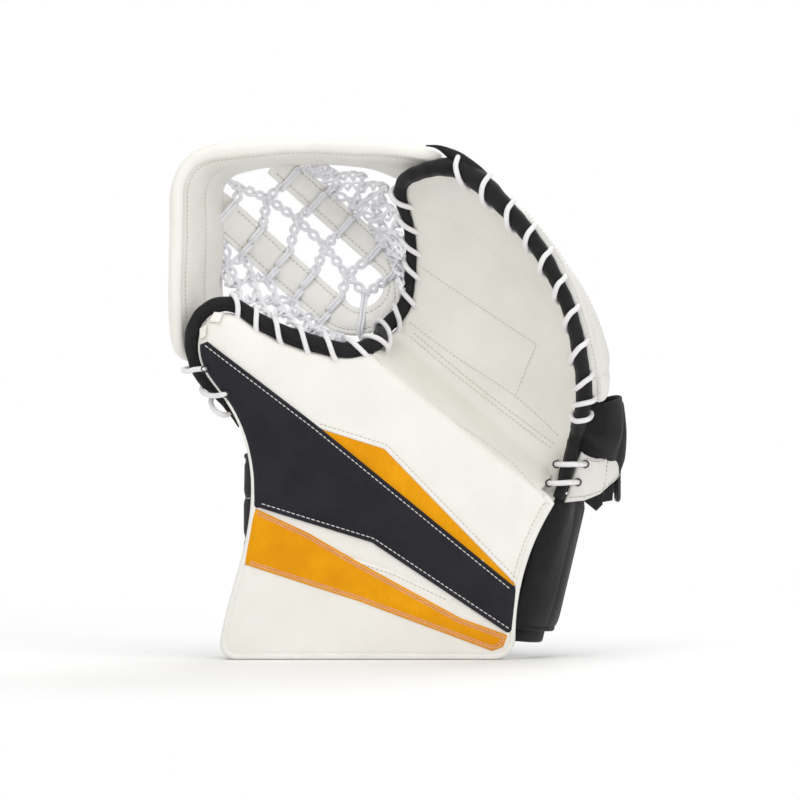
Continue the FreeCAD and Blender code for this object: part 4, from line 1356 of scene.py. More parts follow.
def make_outer_nets():
    shift = BAR_SHIFT
    bar_thumb = spline([page(s, -38, stem_depth(s) + shift) for s in (296, 280, 262, 235, 205, 186)])
    thumb_edge = spline([(-103, 52, 280), (-99, 34, 264), (-86, 20, 255), (-64, 13, 244), (-38, 13, 234), (-14, 16, 229)])
    build = Build()
    nodes = mesh_net(build, bar_thumb, thumb_edge, 5, 3, 8, 1.8, 1.35, 2.0)
    for (i, j), place in nodes.items():
        if j == 3 and i > 1:
            knot(build, place, 1.3, 2.4, i)
    net = build.object("thumb_net", NET)
    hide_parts("net_thumb")
    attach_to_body(net, "cuff_thumb")

    bar_finger = spline([page(s, 39, stem_depth(s) + shift) for s in (296, 275, 252, 230, 206, 184)])
    finger_edge = spline([(-36, 52, 356), (-8, 40, 352), (14, 20, 344), (24, 8, 326), (26, 10, 302), (27, 18, 278),
                          (24, 24, 256)])
    build = Build()
    mesh_net(build, bar_finger, finger_edge, 6, 3, 10, 2.6, 1.35, 2.1)
    for k in range(18):
        a, b = rng.uniform(0.05, 0.95), rng.uniform(-0.12, 0.12)
        start, end = bar_finger(a), finger_edge(min(max(a + b, 0), 1))
        v0, v1 = rng.uniform(0, 0.45), rng.uniform(0.6, 1.0)
        line = [start + (end - start) * v + np.array([0, 7 * math.sin(math.pi * v) + rng.normal(0, 2), 0]) +
                rng.normal(0, 1.4, 3) for v in np.linspace(v0, v1, 5)]
        path = resample(spline(line)(np.linspace(0, 1, 50)), 1.3)
        build.tube(path, 1.2, 7)
    net = build.object("finger_net", NET)
    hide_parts("net_finger")
    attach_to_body(net, "finger_half")


band_grid = make_band()
make_stem()
make_slot_net()
make_outer_nets()


# ---- padded pieces ------------------------------------------------------------------------------------
CLOTH_FRAMES = 18


def apply_modifiers(obj):
    """Swaps an object's mesh for its evaluated one."""
    evaluated = obj.evaluated_get(bpy.context.evaluated_depsgraph_get())
    mesh = bpy.data.meshes.new_from_object(evaluated)
    obj.modifiers.clear()
    obj.data = mesh


def set_rest(obj):
    """Stores where each vertex is, in millimetres, for the materials to lay their patterns out."""
    points = np.empty(len(obj.data.vertices) * 3, np.float32)
    obj.data.vertices.foreach_get("co", points)
    old = obj.data.attributes.get("rest")
    if old is not None:
        obj.data.attributes.remove(old)
    rest = obj.data.attributes.new("rest", "FLOAT_VECTOR", "POINT")
    rest.data.foreach_set("vector", points / MM)
    obj.data.polygons.foreach_set("use_smooth", [True] * len(obj.data.polygons))


def points_of(obj):
    points = np.empty(len(obj.data.vertices) * 3)
    obj.data.vertices.foreach_get("co", points)
    return points.reshape(-1, 3)


def inflate(obj, seams, pressure=4.0, cap=6.0, hold=3.0):
    """Blows a closed pad up as cloth held along its seams, and limits how far it swells."""
    flat = points_of(obj)
    tree = KDTree(sum(len(s) for s in seams))
    for i, p in enumerate(np.vstack(seams)):
        tree.insert(p, i)
    tree.balance()
    group = obj.vertex_groups.new(name="seams")
    for i, p in enumerate(flat / MM):
        gap = tree.find(p)[2]
        if gap < hold:
            group.add([i], 1.0 - 0.3 * gap / hold, "REPLACE")
    cloth = obj.modifiers.new("cloth", "CLOTH")
    settings = cloth.settings
    settings.vertex_group_mass = "seams"
    settings.quality = 5
    settings.mass = 0.25
    settings.tension_stiffness = settings.compression_stiffness = 12
    settings.shear_stiffness = 6
    settings.bending_stiffness = 0.15
    settings.use_pressure = True
    settings.uniform_pressure_force = pressure
    settings.effector_weights.gravity = 0
    cloth.collision_settings.use_collision = False
    cloth.point_cache.frame_start, cloth.point_cache.frame_end = 1, CLOTH_FRAMES
    for number in range(1, CLOTH_FRAMES + 1):
        bpy.context.scene.frame_set(number)
    apply_modifiers(obj)
    swollen = points_of(obj)
    move = swollen - flat
    size = np.linalg.norm(move, axis=1, keepdims=True)
    limit = cap * MM
    move = move * np.where(size > 1e-9, limit * np.tanh(size / limit) / np.maximum(size, 1e-9), 0)
    obj.data.vertices.foreach_set("co", (flat + move).ravel())
    obj.vertex_groups.clear()
    subdivide = obj.modifiers.new("subdivide", "SUBSURF")
    subdivide.levels = subdivide.render_levels = 1
    apply_modifiers(obj)
    bpy.context.scene.frame_set(1)
    set_rest(obj)


def padded(name, grid, thickness, material, rows=(), columns=(), side=1.0, edge=4.0, crown=1.0, dent=1.4,
           thread=None, pressure=4.0, cap=5.0, lift=0.0, inset=3.4):
    """A sewn pad over a grid: pressed in along its seams, swollen between them, with thread in each seam."""
    normal = grid_normals(grid) * side
    run_u = np.cumsum(np.linalg.norm(np.diff(grid, axis=0, prepend=grid[:1]), axis=2), axis=0)
    run_v = np.cumsum(np.linalg.norm(np.diff(grid, axis=1, prepend=grid[:, :1]), axis=2), axis=1)
    press = dent * 0.8 * bump(edge_distance(grid) - inset, 1.6)
    for share in rows:
        press = np.maximum(press, dent * bump(run_u - share * run_u[-1:], 2.4))
    for share in columns:
        press = np.maximum(press, dent * bump(run_v - share * run_v[:, -1:], 2.4))
    obj = pad(name, grid, thickness, material, edge, crown, -press, side, lift)
    top = grid + normal * (thickness + lift + crown * 0.6 - dent)
    lines = [(top[int(r * (len(grid) - 1))], normal[int(r * (len(grid) - 1))]) for r in rows]
    lines += [(top[:, int(c * (grid.shape[1] - 1))], normal[:, int(c * (grid.shape[1] - 1))]) for c in columns]
    around = [(top[k], normal[k]) for k in (1, -2)] + [(top[:, k], normal[:, k]) for k in (1, -2)]
    inflate(obj, [resample(line, 2.0) for line, _ in lines + around], pressure, cap)
    if thread is None:
        return obj, None
    tree = surface_of(obj)
    threads = Build()
    for line, up in lines:
        fine = resample(np.hstack([line, up]), 1.5)
        fine = fine[3:-3]
        if len(fine) < 6:
            continue
        place, outward = [], []
        for p, n in zip(fine[:, :3], unit(fine[:, 3:])):
            hit = tree.ray_cast(Vector((p + n * 9) * MM), Vector(-n), 16 * MM)
            place.append(np.array(hit[0]) / MM if hit[0] is not None else p)
            outward.append(n)
        stitch_row(threads, np.array(place), np.array(outward), 3.4, 2.2, 0.33, 0.1)
    return obj, threads.object(name + "_stitches", thread)


def attach(objects, body, slot, *nodes):
    """Says what a piece and its stitches replace and what they move with; slot, what they are made of, is not used."""
    first = True
    for obj in objects:
        if obj is None:
            continue
        if first and nodes:
            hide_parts(*nodes)
        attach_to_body(obj, body)
        first = False


# ---- back of the hand ---------------------------------------------------------------------------------
def room_at(b, q):
    closing = 1 - 0.62 * np.maximum(0.0, (b - 0.55) / 0.45) ** 1.6
    return 10.0 + 31.0 * closing * np.sin(math.pi * np.clip(q, 0, 1)) ** 0.7


def behind(surface, b, q, extra, room=True):
    """Points behind the finger page, away from the pocket, past the hand's space."""
    grid = surface(b, q)
    normal = grid_normals(grid)
    normal = normal * np.sign(normal[..., 1].mean())
    space = room_at(b, q) if room else 0.0
    return grid + normal * (space + extra)[..., None], np.sign((grid_normals(grid) * normal).sum(2).mean())


def mesh_of(first, last, start, stop, rows=70, columns=60):
    return np.linspace(first, last, rows)[:, None], np.linspace(start, stop, columns)[None]


# How far the back of the hand may stand out past the middle of the roll, as seen from the front, by height
SHELL_REACH = [(172, 13), (183, 12.5), (197, 13.5), (219, 16.5), (244, 13.5), (265, 10.5), (285, 7), (302, 5.5),
               (318, 3.5), (336, 1.5), (352, -1)]


def held_in(grid):
    """Draws a sheet in wherever it stands out too far past the roll."""
    flat = grid.reshape(-1, 3)
    chosen = binding_line[binding_line[:, 0] > 60]
    tangent = unit(np.gradient(chosen, axis=0) * (1, 0, 1))
    nearest = np.array([int(np.argmin(np.hypot(chosen[:, 0] - p[0], chosen[:, 2] - p[2]))) for p in flat])
    out = np.stack([-tangent[:, 2], 0 * tangent[:, 0], tangent[:, 0]], axis=1)[nearest]
    out = out * np.sign((out * (flat - page(80, 20, 30))).sum(1).mean())
    beyond = ((flat - chosen[nearest]) * out).sum(1)
    limit = np.interp(flat[:, 2], *np.array(SHELL_REACH).T) - 5
    drawn = np.where(beyond > limit, limit + 5 * np.tanh((beyond - limit) / 5), beyond)
    return (flat + out * (drawn - beyond)[:, None]).reshape(grid.shape)


def walled(grid):
    """Past its edge a sheet turns in and runs down to the back of the rim's binding."""
    edge = grid[:, -1:]
    behind_roll = binding_line + (-0.5, 6.5, 0)
    rim = np.array([behind_roll[int(np.argmin(np.linalg.norm(behind_roll - p, axis=1)))] for p in edge[:, 0]])
    v = np.linspace(0, 1, 25)[1:][None, :, None]
    out = unit((edge - page(80, 20, 30)) * (1, 0.3, 1))
    wall = edge + (rim[:, None] - edge) * v + out * 3.0 * np.sin(v * math.pi)
    return np.concatenate([grid, wall], axis=1)


def make_back():
    b, q = mesh_of(0.20, 0.965, 0.50, 0.95, 100, 90)
    grid, side = behind(cupped_point, b, q, 2.4)
    grid = walled(held_in(grid))
    shell = padded("finger_back_shell", grid, 5.2, SHELL_LEATHER, rows=(0.10,), columns=(0.22, 0.44, 0.66, 0.86), side=side,
                   edge=5, crown=1.2, thread=THREAD, cap=5.0)
    attach(shell, "finger_half", "white_leather", "finger_back_shell")

    b, q = mesh_of(0.16, 0.95, 0.14, 0.485, 90, 60)
    grid, side = behind(cupped_point, b, q, 1.0)
    panel = padded("hand_back_panel", grid, 3.4, KNIT, rows=(0.2, 0.4, 0.6, 0.8), columns=(0.5,), side=side,
                   thread=None, cap=4.0)
    attach(panel, "finger_half", "hand_fabric", "hand_back_panel")

    b, q = mesh_of(0.02, 0.20, 0.5, 0.97, 50, 60)
    grid, side = behind(cupped_point, b, q, 2.4)
    # its lower corner is drawn down to a point behind the heel's tab
    draw = (1 - smooth((b - 0.02) / 0.09)) * smooth((q - 0.62) / 0.3)
    grid = grid + (np.array((185.0, 58.0, 127.0)) - grid) * draw[..., None]
    grid = grid + np.array((3.5, 2.0, 0.0)) * smooth((q - 0.6) / 0.3)[..., None]
    liner = padded("side_liner", walled(grid), 3.4, LINING, columns=(0.5,), side=side, cap=2.5)
    attach(liner, "finger_half", "black_lining", "side_liner")

    b, q = mesh_of(0.12, 0.92, 0.1, 0.82, 80, 70)
    grid = finger_point(b, q) + rim_reach(b[:, 0])[:, None] * smooth((q - 0.45) / 0.55)[..., None]
    normal = grid_normals(grid)
    side = np.sign(normal[..., 1].mean())
    pad_obj = pad("palm_pad", grid, 4.8, LINING, 5, 0.6, waves(grid, 30, 0.6, 3.0), side, 3.6)
    attach([pad_obj], "finger_half", "foam", "palm_pad")
    # the stiff board lies just inside the shell
    b, q = mesh_of(0.25, 0.90, 0.53, 0.93, 60, 50)
    grid, side = behind(cupped_point, b, q, 0.6)
    board = pad("back_board", held_in(grid), 1.2, BOARD, 0.6, 0, waves(grid, 40, 0.2, 1.0), side)
    attach([board], "finger_half", "board", "backhand_board")


def sleeve(name, path, radius, wall, material, seam_up):
    """A knitted sleeve with a hemmed mouth, an inside wall, a closed end and a sewn seam along it."""
    path = resample(spline(path)(np.linspace(0, 1, 120)), 1.6)
    run = run_length(path)
    end = run[-1] - run
    soft = 1 + 0.035 * np.sin(run / 7.0 + radius) + 0.02 * np.sin(run / 2.7)
    hem = 0.9 * bump(run - 2.0, 1.6) - 0.5 * bump(run - 5.2, 1.3)
    outer = radius * soft * np.maximum(rounded(end, radius), 0.05) + hem
    sides = 28
    _, side, ups = frames_along(path, seam_up)
    angle = np.arange(sides) * 2 * math.pi / sides
    ring = side[:, None] * np.cos(angle)[None, :, None] + ups[:, None] * np.sin(angle)[None, :, None]
    press = 1 - 0.05 * bump(np.abs(np.arange(sides) - sides // 4), 1.2)
    outside = path[:, None] + ring * (outer[:, None] * press)[..., None]
    inner = outer - wall
    kept = inner > 1.5
    inside_rings = path[kept][:, None] + ring[kept] * inner[kept][:, None, None]
    rings = np.concatenate([inside_rings[::-1], outside])
    points = np.vstack([rings.reshape(-1, 3), path[kept][-1:], path[-1:]])
    faces = wrap_faces(len(rings), sides)
    base = (len(rings) - 1) * sides
    faces += [(len(points) - 2, (j + 1) % sides, j) for j in range(sides)]
    faces += [(len(points) - 1, base + j, base + (j + 1) % sides) for j in range(sides)]
    obj = mesh_object(name, points, faces, material)
    threads = Build()
    line = outside[4:-8, sides // 4]
    stitch_row(threads, line, unit(line - path[4:-8]), 3.2, 2.1, 0.32, 0.1)
    return obj, threads.object(name + "_stitches", THREAD)


def make_stalls():
    stalls = {"index_stall": (0.24, 0.30, 0.87), "middle_stall": (0.41, 0.46, 0.88),
              "ring_stall": (0.58, 0.61, 0.84), "little_stall": (0.73, 0.75, 0.74)}
    for name, (q0, q1, stop) in stalls.items():
        share = np.linspace(0, 1, 9)
        b, q = 0.42 + (stop - 0.42) * share, q0 + (q1 - q0) * share
        near_b = b[:, None] + np.array([-0.01, 0.0, 0.01])[None]
        path = []
        for i in range(len(share)):
            patch = cupped_point(near_b[i][:, None], q[i] + np.array([-0.01, 0.0, 0.01])[None])
            normal = grid_normals(patch)[1, 1]
            normal = normal * np.sign(normal[1] if abs(normal[1]) > 0.05 else 1.0)
            path.append(patch[1, 1] + normal * (room_at(b[i], q[i]) * 0.5 + 4.6))
        attach(sleeve(name, path, 8.0 if name == "little_stall" else 9.2, 1.6, KNIT, (0, 1, 0)), "finger_half",
               "hand_fabric", name)
    thumb = sleeve("thumb_stall", [(10, 31, 150), (-25, 30, 175), (-62, 28, 200), (-90, 26, 220)], 13.6, 2.0, KNIT,
                   (0, 1, 0))
    attach(thumb, "cuff_thumb", "hand_fabric", "thumb_stall")


def make_hand_strap():
    def layer(first, last, start, stop, extra):
        b, q = mesh_of(start, stop, first, last, 30, 70)
        return behind(finger_point, b, q, extra)
    grid, side = layer(0.155, 0.27, 0.405, 0.555, 5.3)
    loop_patch = pad("hand_loop_patch", grid, 0.9, HOOKS, 0.8, 0, waves(grid, 2.2, 0.25, 1.0), side)
    attach([loop_patch], "finger_half", "hook_and_loop", "hand_loop_patch")
    grid, side = layer(0.165, 0.26, 0.415, 0.545, 6.5)
    hooks = pad("hand_hook_patch", grid, 0.9, HOOKS, 0.8, 0, waves(grid, 1.6, 0.25, 2.0), side)
    attach([hooks], "hand_strap", "hook_and_loop", "hand_hook_patch")
    grid, side = layer(0.152, 0.472, 0.402, 0.558, 7.8)
    strap = pad("hand_strap", grid, 2.3, WEBBING, 1.2, 0.2, waves(grid, 18, 0.35, 4.0), side)
    threads = Build()
    normal = grid_normals(grid) * side
    top = grid + normal * 2.6
    for k in (3, -4):
        fine = resample(np.hstack([top[k], normal[k]]), 1.4)[2:-2]
        stitch_row(threads, fine[:, :3], unit(fine[:, 3:]), 3.0, 2.0, 0.32, 0.1)
    for k in (8, 22):
        fine = resample(np.hstack([top[4:-4, k], normal[4:-4, k]]), 1.4)
        stitch_row(threads, fine[:, :3], unit(fine[:, 3:]), 3.0, 2.0, 0.32, 0.1)
    attach([strap, threads.object("hand_strap_stitches", THREAD)], "hand_strap", "webbing", "hand_strap")


# ---- wrist --------------------------------------------------------------------------------------------
def standing(line, low, high, columns=90, rows=26, sway=0.0):
    """A ribbon on edge along an XY line, from low to high; both may be one number or change along it."""
    places = resample(spline(line)(np.linspace(0, 1, 200)), run_length(spline(line)(np.linspace(0, 1, 200)))[-1] / columns)
    share = np.linspace(0, 1, len(places))
    low, high = np.broadcast_to(low, len(share)), np.broadcast_to(high, len(share))
    v = np.linspace(0, 1, rows)[:, None]
    z = low[None] + (high - low)[None] * v
    x = np.broadcast_to(places[None, :, 0], z.shape)
    y = np.broadcast_to(places[None, :, 1], z.shape) + sway * np.sin(v * math.pi)
    return np.stack([x, y, z], axis=2)


def facing(grid, toward):
    """Which sign makes a grid's normals lean along a direction."""
    return np.sign((grid_normals(grid) * np.asarray(toward, float)).sum(2).mean())


def away_from(grid, place):
    return np.sign((grid_normals(grid) * (grid - np.asarray(place, float))).sum(2).mean())


def edge_tape(name, grid, side, thickness, radius, material):
    """A tape folded over all four borders of a sheet."""
    normal = grid_normals(grid) * side
    middle = grid + normal * (thickness / 2)
    rows, columns = grid.shape[:2]
    path = np.vstack([middle[0, 1:-1], middle[1:-1, -1], middle[-1, 1:-1][::-1], middle[1:-1, 0][::-1], middle[0, 1:3]])
    build = Build()
    path = resample(path, 1.8)
    for _ in range(2):
        path[1:-1] = (path[:-2] + 2 * path[1:-1] + path[2:]) / 4
    build.tube(path, radius, 10, up=normal[rows // 2, columns // 2])
    return build.object(name, material)


def make_wrist():
    line = [(-66, 14), (-84, 34), (-76, 60), (-46, 76), (0, 82), (50, 82)]
    grid = standing(line, 25, 145, 90, 60)
    side = away_from(grid, (-10, 30, 85))
    wrap, seams = padded("wrist_wrap", grid, 4.2, LINING, rows=(0.25, 0.5, 0.75), columns=(), side=side, cap=3.0,
                         thread=THREAD)
    attach((wrap, seams), "cuff_thumb", "black_lining", "wrist_wrap")
    tape = edge_tape("wrist_wrap_tape", grid, side, 4.2, 2.6, BINDING)
    attach([tape], "cuff_thumb", "black_binding")

    grid = standing([(-20, 87.8), (14, 88.7), (48, 88.6)], 112, 144, 60, 30)
    patch = pad("wrist_loop_patch", grid, 1.3, HOOKS, 0.9, 0, waves(grid, 2.0, 0.25, 1.0), facing(grid, (0, 1, 0)))
    attach([patch], "cuff_thumb", "hook_and_loop", "wrist_loop_patch")
    grid = standing([(-16, 91.5), (14, 92.4), (46, 92.6)], 119, 144, 60, 26)
    patch = pad("wrist_hook_patch", grid, 1.0, HOOKS, 0.8, 0, waves(grid, 1.6, 0.25, 2.0), facing(grid, (0, 1, 0)))
    attach([patch], "wrist_strap", "hook_and_loop", "wrist_hook_patch")

    line = [(186, 58), (178, 76), (150, 92), (100, 98), (50, 96.5), (6, 94.5), (-18, 93.5)]
    grid = standing(line, 117.5, 145.5, 150, 26)
    side = away_from(grid, (90, 20, 130))
    strap = pad("wrist_strap", grid, 2.6, WEBBING, 1.2, 0.3, waves(grid, 30, 0.4, 4.0), side)
    normal = grid_normals(grid) * side
    top = grid + normal * 2.9
    threads = Build()
    for k in (3, -4):
        fine = resample(np.hstack([top[k], normal[k]]), 1.4)[2:-2]
        stitch_row(threads, fine[:, :3], unit(fine[:, 3:]), 3.0, 2.0, 0.32, 0.1)
    for first, last in ((6, 20), (118, 146)):
        corners = [(4, first), (4, last), (-5, last), (-5, first), (4, first), (-5, last)]
        line = np.vstack([np.hstack([top[r, c], normal[r, c]]) for r, c in corners])
        fine = resample(line, 1.4)
        stitch_row(threads, fine[:, :3], unit(fine[:, 3:]), 3.0, 2.0, 0.34, 0.25)
    attach([strap, threads.object("wrist_strap_stitches", THREAD)], "wrist_strap", "webbing", "wrist_strap")


def make_ring():
    """A rectangular wire ring with rounded corners and a small weld bead."""
    low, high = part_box("strap_ring")
    x0, y0, z0 = np.array(low) / MM + 1.8
    x1, y1, z1 = np.array(high) / MM - 1.8
    corners = [(x1, y0, z0), (x1, y0, z1), (x0, y1, z1), (x0, y1, z0)]
    path = []
    for i, corner in enumerate(corners):
        before, after = np.array(corners[i - 1]), np.array(corners[(i + 1) % 4])
        corner = np.array(corner)
        a = corner + unit(before - corner) * 3.2
        b = corner + unit(after - corner) * 3.2
        for share in np.linspace(0, 1, 7):
            path.append((1 - share) ** 2 * a + 2 * share * (1 - share) * corner + share ** 2 * b)
    path.append(path[0])
    build = Build()
    build.tube(resample(np.array(path), 1.0), 1.8, 14, up=(1, 0, 0), ends=False)
    build.tube(np.array([(x0, y1, (z0 + z1) / 2 - 1.6), (x0, y1, (z0 + z1) / 2 + 1.6)]), 2.05, 12, up=(1, 0, 0))
    ring = build.object("strap_ring", PLASTIC)
    attach([ring], "strap_ring", "ring_plastic", "strap_ring")


def make_heel():
    curve = spline([(144.5, 7.5), (152, 9.0), (160, 11.8), (169, 16), (176.5, 20.5), (181.5, 26), (183.5, 34)])
    u, v = np.linspace(0, 1, 60)[None], np.linspace(0, 1, 36)[:, None]
    along = 0.25 * v * (1 - u) + u
    place = curve(along)
    low = np.interp(along, (0, 0.3, 0.55, 0.72, 1), (111.8, 113.2, 117.8, 124.5, 132.0))
    high = np.interp(along, (0.2, 0.3, 0.4, 0.5, 0.6, 0.7, 0.8, 1), (151, 147, 144.8, 143.6, 144.4, 148, 150, 146))
    z = low + (high - low) * v
    grid = np.stack([place[..., 0], place[..., 1], z], axis=2)
    side = facing(grid, (0, -1, 0))
    tab = pad("heel_tab", grid, 2.6, SHELL_LEATHER, 2.2, 0.6, waves(grid, 14, 0.6, 2.0), side)
    normal = grid_normals(grid) * side
    top = grid + normal * 3.2
    threads = Build()
    for line, up in ((top[2:-2, 34], normal[2:-2, 34]), (top[3, 3:-3], normal[3, 3:-3]), (top[-4, 6:-3], normal[-4, 6:-3])):
        fine = resample(np.hstack([line, up]), 1.4)
        stitch_row(threads, fine[:, :3], unit(fine[:, 3:]), 3.2, 2.0, 0.3, 0.0)
    attach([tab, threads.object("heel_tab_stitches", PALE_THREAD)], "cuff_thumb", "white_leather", "heel_tab")

    # the palm runs on down past the fold to the cuff's corner
    patch = Build()
    depth = drop(palm_tree, [(134, 143)])[0][0][1]
    flat_tab(patch, ((121, depth + 1.8, 141), (143, depth + 1.8, 143), (137.5, 4.5, 113.5), (130.5, 2.2, 111.5)), 1.6, 24)
    attach([patch.object("heel_patch", PALM)], "cuff_thumb", "palm_leather")

    laces, holes = Build(), Build()
    for x0, x1, z0, z1 in ((139.2, 160.0, 139.6, 139.8), (133.8, 154.4, 126.0, 126.6)):
        start, _ = drop(palm_tree, [(x0, z0)])
        y0 = min(start[0][1], 6.0)
        y1 = float(np.interp(x1, (144, 160, 169), (7.0, 11.0, 15.5))) - 4.0
        over = min(y0, y1, 0.5) - 4.2
        line = [(x0 - 0.5, y0 + 3.0, z0), (x0 + 0.8, y0 - 2.0, z0), (x0 + 5, over, z0),
                (x1 - 6, over, z1), (x1 - 0.8, y1 - 1.4, z1), (x1 + 0.4, y1 + 4, z1)]
        laces.tube(resample(spline(line)(np.linspace(0, 1, 60)), 1.0), 2.0, 10)
        eyelet(holes, np.array([x0 - 0.2, y0 - 0.6, z0]), np.array([0.0, -1.0, 0.0]), 2.5)
        eyelet(holes, np.array([x1 + 0.2, y1 + 0.2, z1]), np.array([0.3, -1.0, 0.0]), 2.5)
    attach([laces.object("heel_lace", LACE)], "cuff_thumb", "lace", "heel_lace")
    attach([holes.object("heel_eyelets", METAL)], "cuff_thumb", "ring_plastic")

    build = Build()
    flat_tab(build, ((154, 24, 117), (175, 31, 122), (173.5, 31, 109.5), (169, 29, 105)), 2.4, 20)
    flat_tab(build, ((169, 35, 124), (182.8, 41, 129), (181.5, 41, 112.5), (172, 37, 111)), 2.4, 20)
    attach([build.object("strap_tails", WEBBING)], "cuff_thumb", "webbing", "pull_tab")


GUARD_TOP, GUARD_BOTTOM = np.array([136.0, 0, 113.0]), np.array([109.5, 0, 20.0])


def guard_point(u, v):
    """Inner face of the wrist guard: u from its top to its bottom, v from its seam round to the back."""
    u, v = np.broadcast_arrays(np.asarray(u, float), np.asarray(v, float))
    turn = v * math.pi / 2
    width = 18 + 6 * u
    seam = GUARD_TOP + (GUARD_BOTTOM - GUARD_TOP) * u[..., None]
    fold = 1.6 * np.sin(v * 9 + u * 1.3) * smooth(v * 4) * (0.4 + 0.6 * (1 - u))
    return seam + np.stack([width * np.sin(turn) + fold, 15 + 42 * (1 - np.cos(turn)), -3 * np.sin(turn)], axis=-1)


def make_guard():
    u, v = np.linspace(-0.04, 0.975, 90)[:, None], np.linspace(-0.05, 1, 72)[None]
    grid = guard_point(u, v)
    side = facing(grid, (0.7, -0.7, 0))
    pieces = padded("wrist_guard", grid, 6.6, GUARD, rows=(), columns=(0.45, 0.7), side=side, edge=6, crown=1.5,
                    dent=0.45, cap=4.0)
    attach(pieces, "wrist_guard", "guard_fabric", "wrist_guard")
    tape = edge_tape("wrist_guard_tape", grid, side, 6.6, 2.4, BINDING)
    attach([tape], "wrist_guard", "black_binding")
    u, v = np.linspace(-0.06, 0.965, 90)[:, None], np.linspace(-0.36, 0.04, 14)[None]
    grid = guard_point(u, v)
    strip = pad("guard_seam", grid, 4.0, GUARD, 1.5, 0.3, side=side)
    attach([strip], "cuff_thumb", "guard_fabric")
    u, v = np.linspace(0.66, 1.10, 50)[:, None], np.linspace(-0.25, 0.95, 70)[None]
    grid = guard_point(u, v)
    flap = padded("guard_flap", grid, 2.4, GUARD, rows=(), columns=(), side=-side, edge=2.4, crown=0.5, dent=0.5,
                  lift=1.0, cap=2.0)
    attach(flap, "wrist_guard", "guard_fabric", "guard_flap")


def make_lining():
    """Quilted lining on the cuff's back."""
    normals = outward_normals(cuff_loop)
    loop = cuff_loop - normals * 8.0
    loop = resample(loop[line_distance(loop, cuff_loop, True) > 7.6], 2.4, True)
    seams = [np.array(p, float) for p in (((-92, 200), (70, 60)), ((-92, 120), (60, 10)), ((-60, 225), (110, 80)),
                                          ((-60, 30), (20, 190)), ((10, 20), (80, 145)))]
    flat, faces = triangulate(loop, (0.4, 1.2, 2.4, 4.0), 4.0, seams)
    gap = line_distance(flat, loop, True)
    to_seam = np.min([line_distance(flat, line) for line in seams], axis=0)
    under = cuff_half(flat) * 0.94
    swell = 4.2 * rounded(gap, 4.5) + 2.6 * (1 - np.exp(-np.minimum(to_seam, gap) / 9)) + waves(flat, 25, 0.6, 3.0)
    points, faces = closed_plate(flat, faces, under - 2.0, under + swell)
    lining = mesh_object("cuff_lining_pad", points, faces, LINING)
    attach([lining], "cuff_thumb", "black_lining", "cuff_lining")
    threads = Build()
    tree = surface_of(lining)
    for line in seams:
        row = resample(line, 1.5)
        row = row[inside(row, loop) & (line_distance(row, loop, True) > 3)]
        place, outward = [], []
        for x, z in row:
            hit = tree.ray_cast(Vector((x * MM, 0.2, z * MM)), Vector((0, -1, 0)))
            if hit[0] is not None:
                place.append(np.array(hit[0]) / MM)
                outward.append((0.0, 1.0, 0.0))
        stitch_row(threads, np.array(place), np.array(outward), 3.6, 2.3, 0.33, 0.1)
    attach([threads.object("cuff_lining_stitches", THREAD)], "cuff_thumb", "lace")


make_lining()
def flat_tab(build, corners, thickness=1.4, rows=12):
    """A small leather tab between four corners, with a rounded edge."""
    a, b, c, d = (np.array(p, float) for p in corners)
    u, v = np.linspace(0, 1, rows)[:, None, None], np.linspace(0, 1, rows)[None, :, None]
    grid = a * (1 - u) * (1 - v) + b * (1 - u) * v + c * u * v + d * u * (1 - v)
    normal = grid_normals(grid) * facing(grid, (0, -1, 0))
    share = rounded(edge_distance(grid), 1.2)[..., None] * thickness / 2
    points, faces = closed_sheet(grid + normal * share, grid - normal * share)
    build.add(points, faces)


def make_tabs():
    """White leather tabs that lap from the thumb's tip on to the binding, and a tapered black strip at the fingertip.
    """
    build = Build()
    flat_tab(build, ((-113, -11.5, 243), (-109, -10.5, 250), (-102, -10.5, 249.5), (-105, -14.5, 242)))
    flat_tab(build, ((-119.5, -11.5, 230), (-119.3, -10.5, 238), (-114.5, -12.5, 241), (-115, -14.5, 232)))
    attach([build.object("thumb_tabs", WHITE)], "cuff_thumb", "white_leather")
    build = Build()
    path = [(44, -38, 368.5), (52, -40, 367.5), (60, -42.5, 363.5), (69, -44, 358), (80, -44, 350), (91, -41, 341), (99, -38, 334)]
    path = resample(spline(path)(np.linspace(0, 1, 60)), 1.2)
    run = run_length(path)
    build.tube(path, 0.6 + 4.0 * smooth(run / 28) * smooth((run[-1] - run) / 26), 14, flat=0.8)
    attach([build.object("fingertip_strip", BINDING)], "finger_half", "black_binding")


make_tabs()
make_back()
make_stalls()
make_hand_strap()
make_wrist()
make_ring()
make_heel()
make_guard()


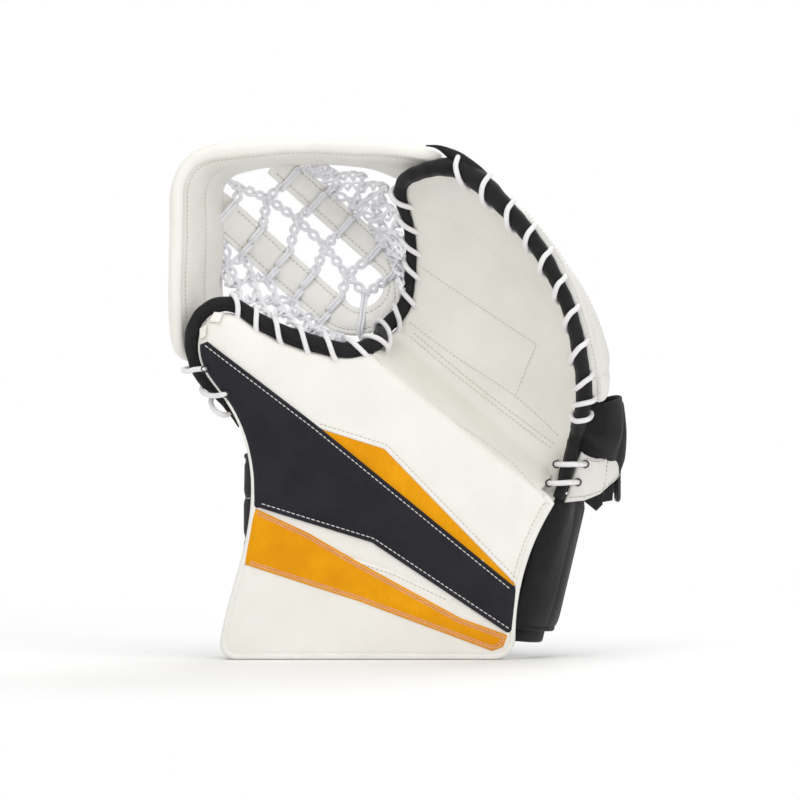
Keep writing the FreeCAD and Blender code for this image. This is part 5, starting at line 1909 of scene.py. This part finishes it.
# ---- stage --------------------------------------------------------------------------------------------
def make_stage():
    box_low, box_high = cad_box
    floor_mesh = bpy.data.meshes.new("floor")
    floor_mesh.from_pydata([(-9, -9, 0), (9, -9, 0), (9, 9, 0), (-9, 9, 0)], [], [(0, 1, 2, 3)])
    floor = bpy.data.objects.new("floor", floor_mesh)
    floor.location.z = box_low[2] - 0.0015
    bpy.context.scene.collection.objects.link(floor)
    pale = Shader("floor_pale", (0.93, 0.93, 0.925), 0.7)
    pale.color(pale.mix(pale.ramp(pale.noise(300.0, 2), 0.3, 0.7), (0.93, 0.93, 0.925), (0.915, 0.915, 0.91)))
    # the floor fades to the white of the backdrop away from the glove
    tree = pale.tree
    place = tree.nodes.new("ShaderNodeNewGeometry")
    away = tree.nodes.new("ShaderNodeVectorMath")
    away.operation = "LENGTH"
    tree.links.new(place.outputs["Position"], away.inputs[0])
    glow, mixed = tree.nodes.new("ShaderNodeEmission"), tree.nodes.new("ShaderNodeMixShader")
    tree.links.new(pale.ramp(away.outputs["Value"], 0.3, 0.85), mixed.inputs[0])
    tree.links.new(pale.principled.outputs[0], mixed.inputs[1])
    tree.links.new(glow.outputs[0], mixed.inputs[2])
    tree.links.new(mixed.outputs[0], tree.nodes["Material Output"].inputs[0])
    floor.data.materials.append(pale.material)

    world = bpy.data.worlds.new("studio")
    world.use_nodes = True
    background = world.node_tree.nodes["Background"]
    rays = world.node_tree.nodes.new("ShaderNodeLightPath")
    strength = world.node_tree.nodes.new("ShaderNodeMapRange")
    strength.inputs["To Min"].default_value = 0.54
    strength.inputs["To Max"].default_value = 1.0
    world.node_tree.links.new(rays.outputs["Is Camera Ray"], strength.inputs["Value"])
    world.node_tree.links.new(strength.outputs["Result"], background.inputs["Strength"])
    background.inputs["Color"].default_value = (1.0, 1.0, 1.0, 1)
    bpy.context.scene.world = world
    bpy.context.scene.view_settings.view_transform = "Standard"
    middle = Vector((0.02, 0.0, 0.2))
    for name, place, size, power in (("key", (-0.9, -1.3, 1.5), 1.1, 11), ("fill", (1.5, -1.5, 0.7), 1.6, 13),
                                     ("rim", (0.7, 1.4, 1.4), 1.2, 13), ("top", (0.0, -0.1, 1.9), 1.4, 10)):
        light = bpy.data.lights.new(name, "AREA")
        light.size = size
        light.energy = power
        lamp = bpy.data.objects.new(name, light)
        lamp.location = place
        lamp.rotation_euler = (middle - lamp.location).to_track_quat("-Z", "Y").to_euler()
        bpy.context.scene.collection.objects.link(lamp)


def make_camera():
    distance, width = 3.2, 0.58
    camera = bpy.data.objects.new("camera", bpy.data.cameras.new("camera"))
    camera.data.sensor_width = 36
    camera.data.lens = 36 * distance / width
    camera.location = (0.0254, -distance, 0.1863)
    camera.rotation_euler = (math.pi / 2, 0, 0)
    bpy.context.scene.collection.objects.link(camera)
    bpy.context.scene.camera = camera


make_stage()
make_camera()
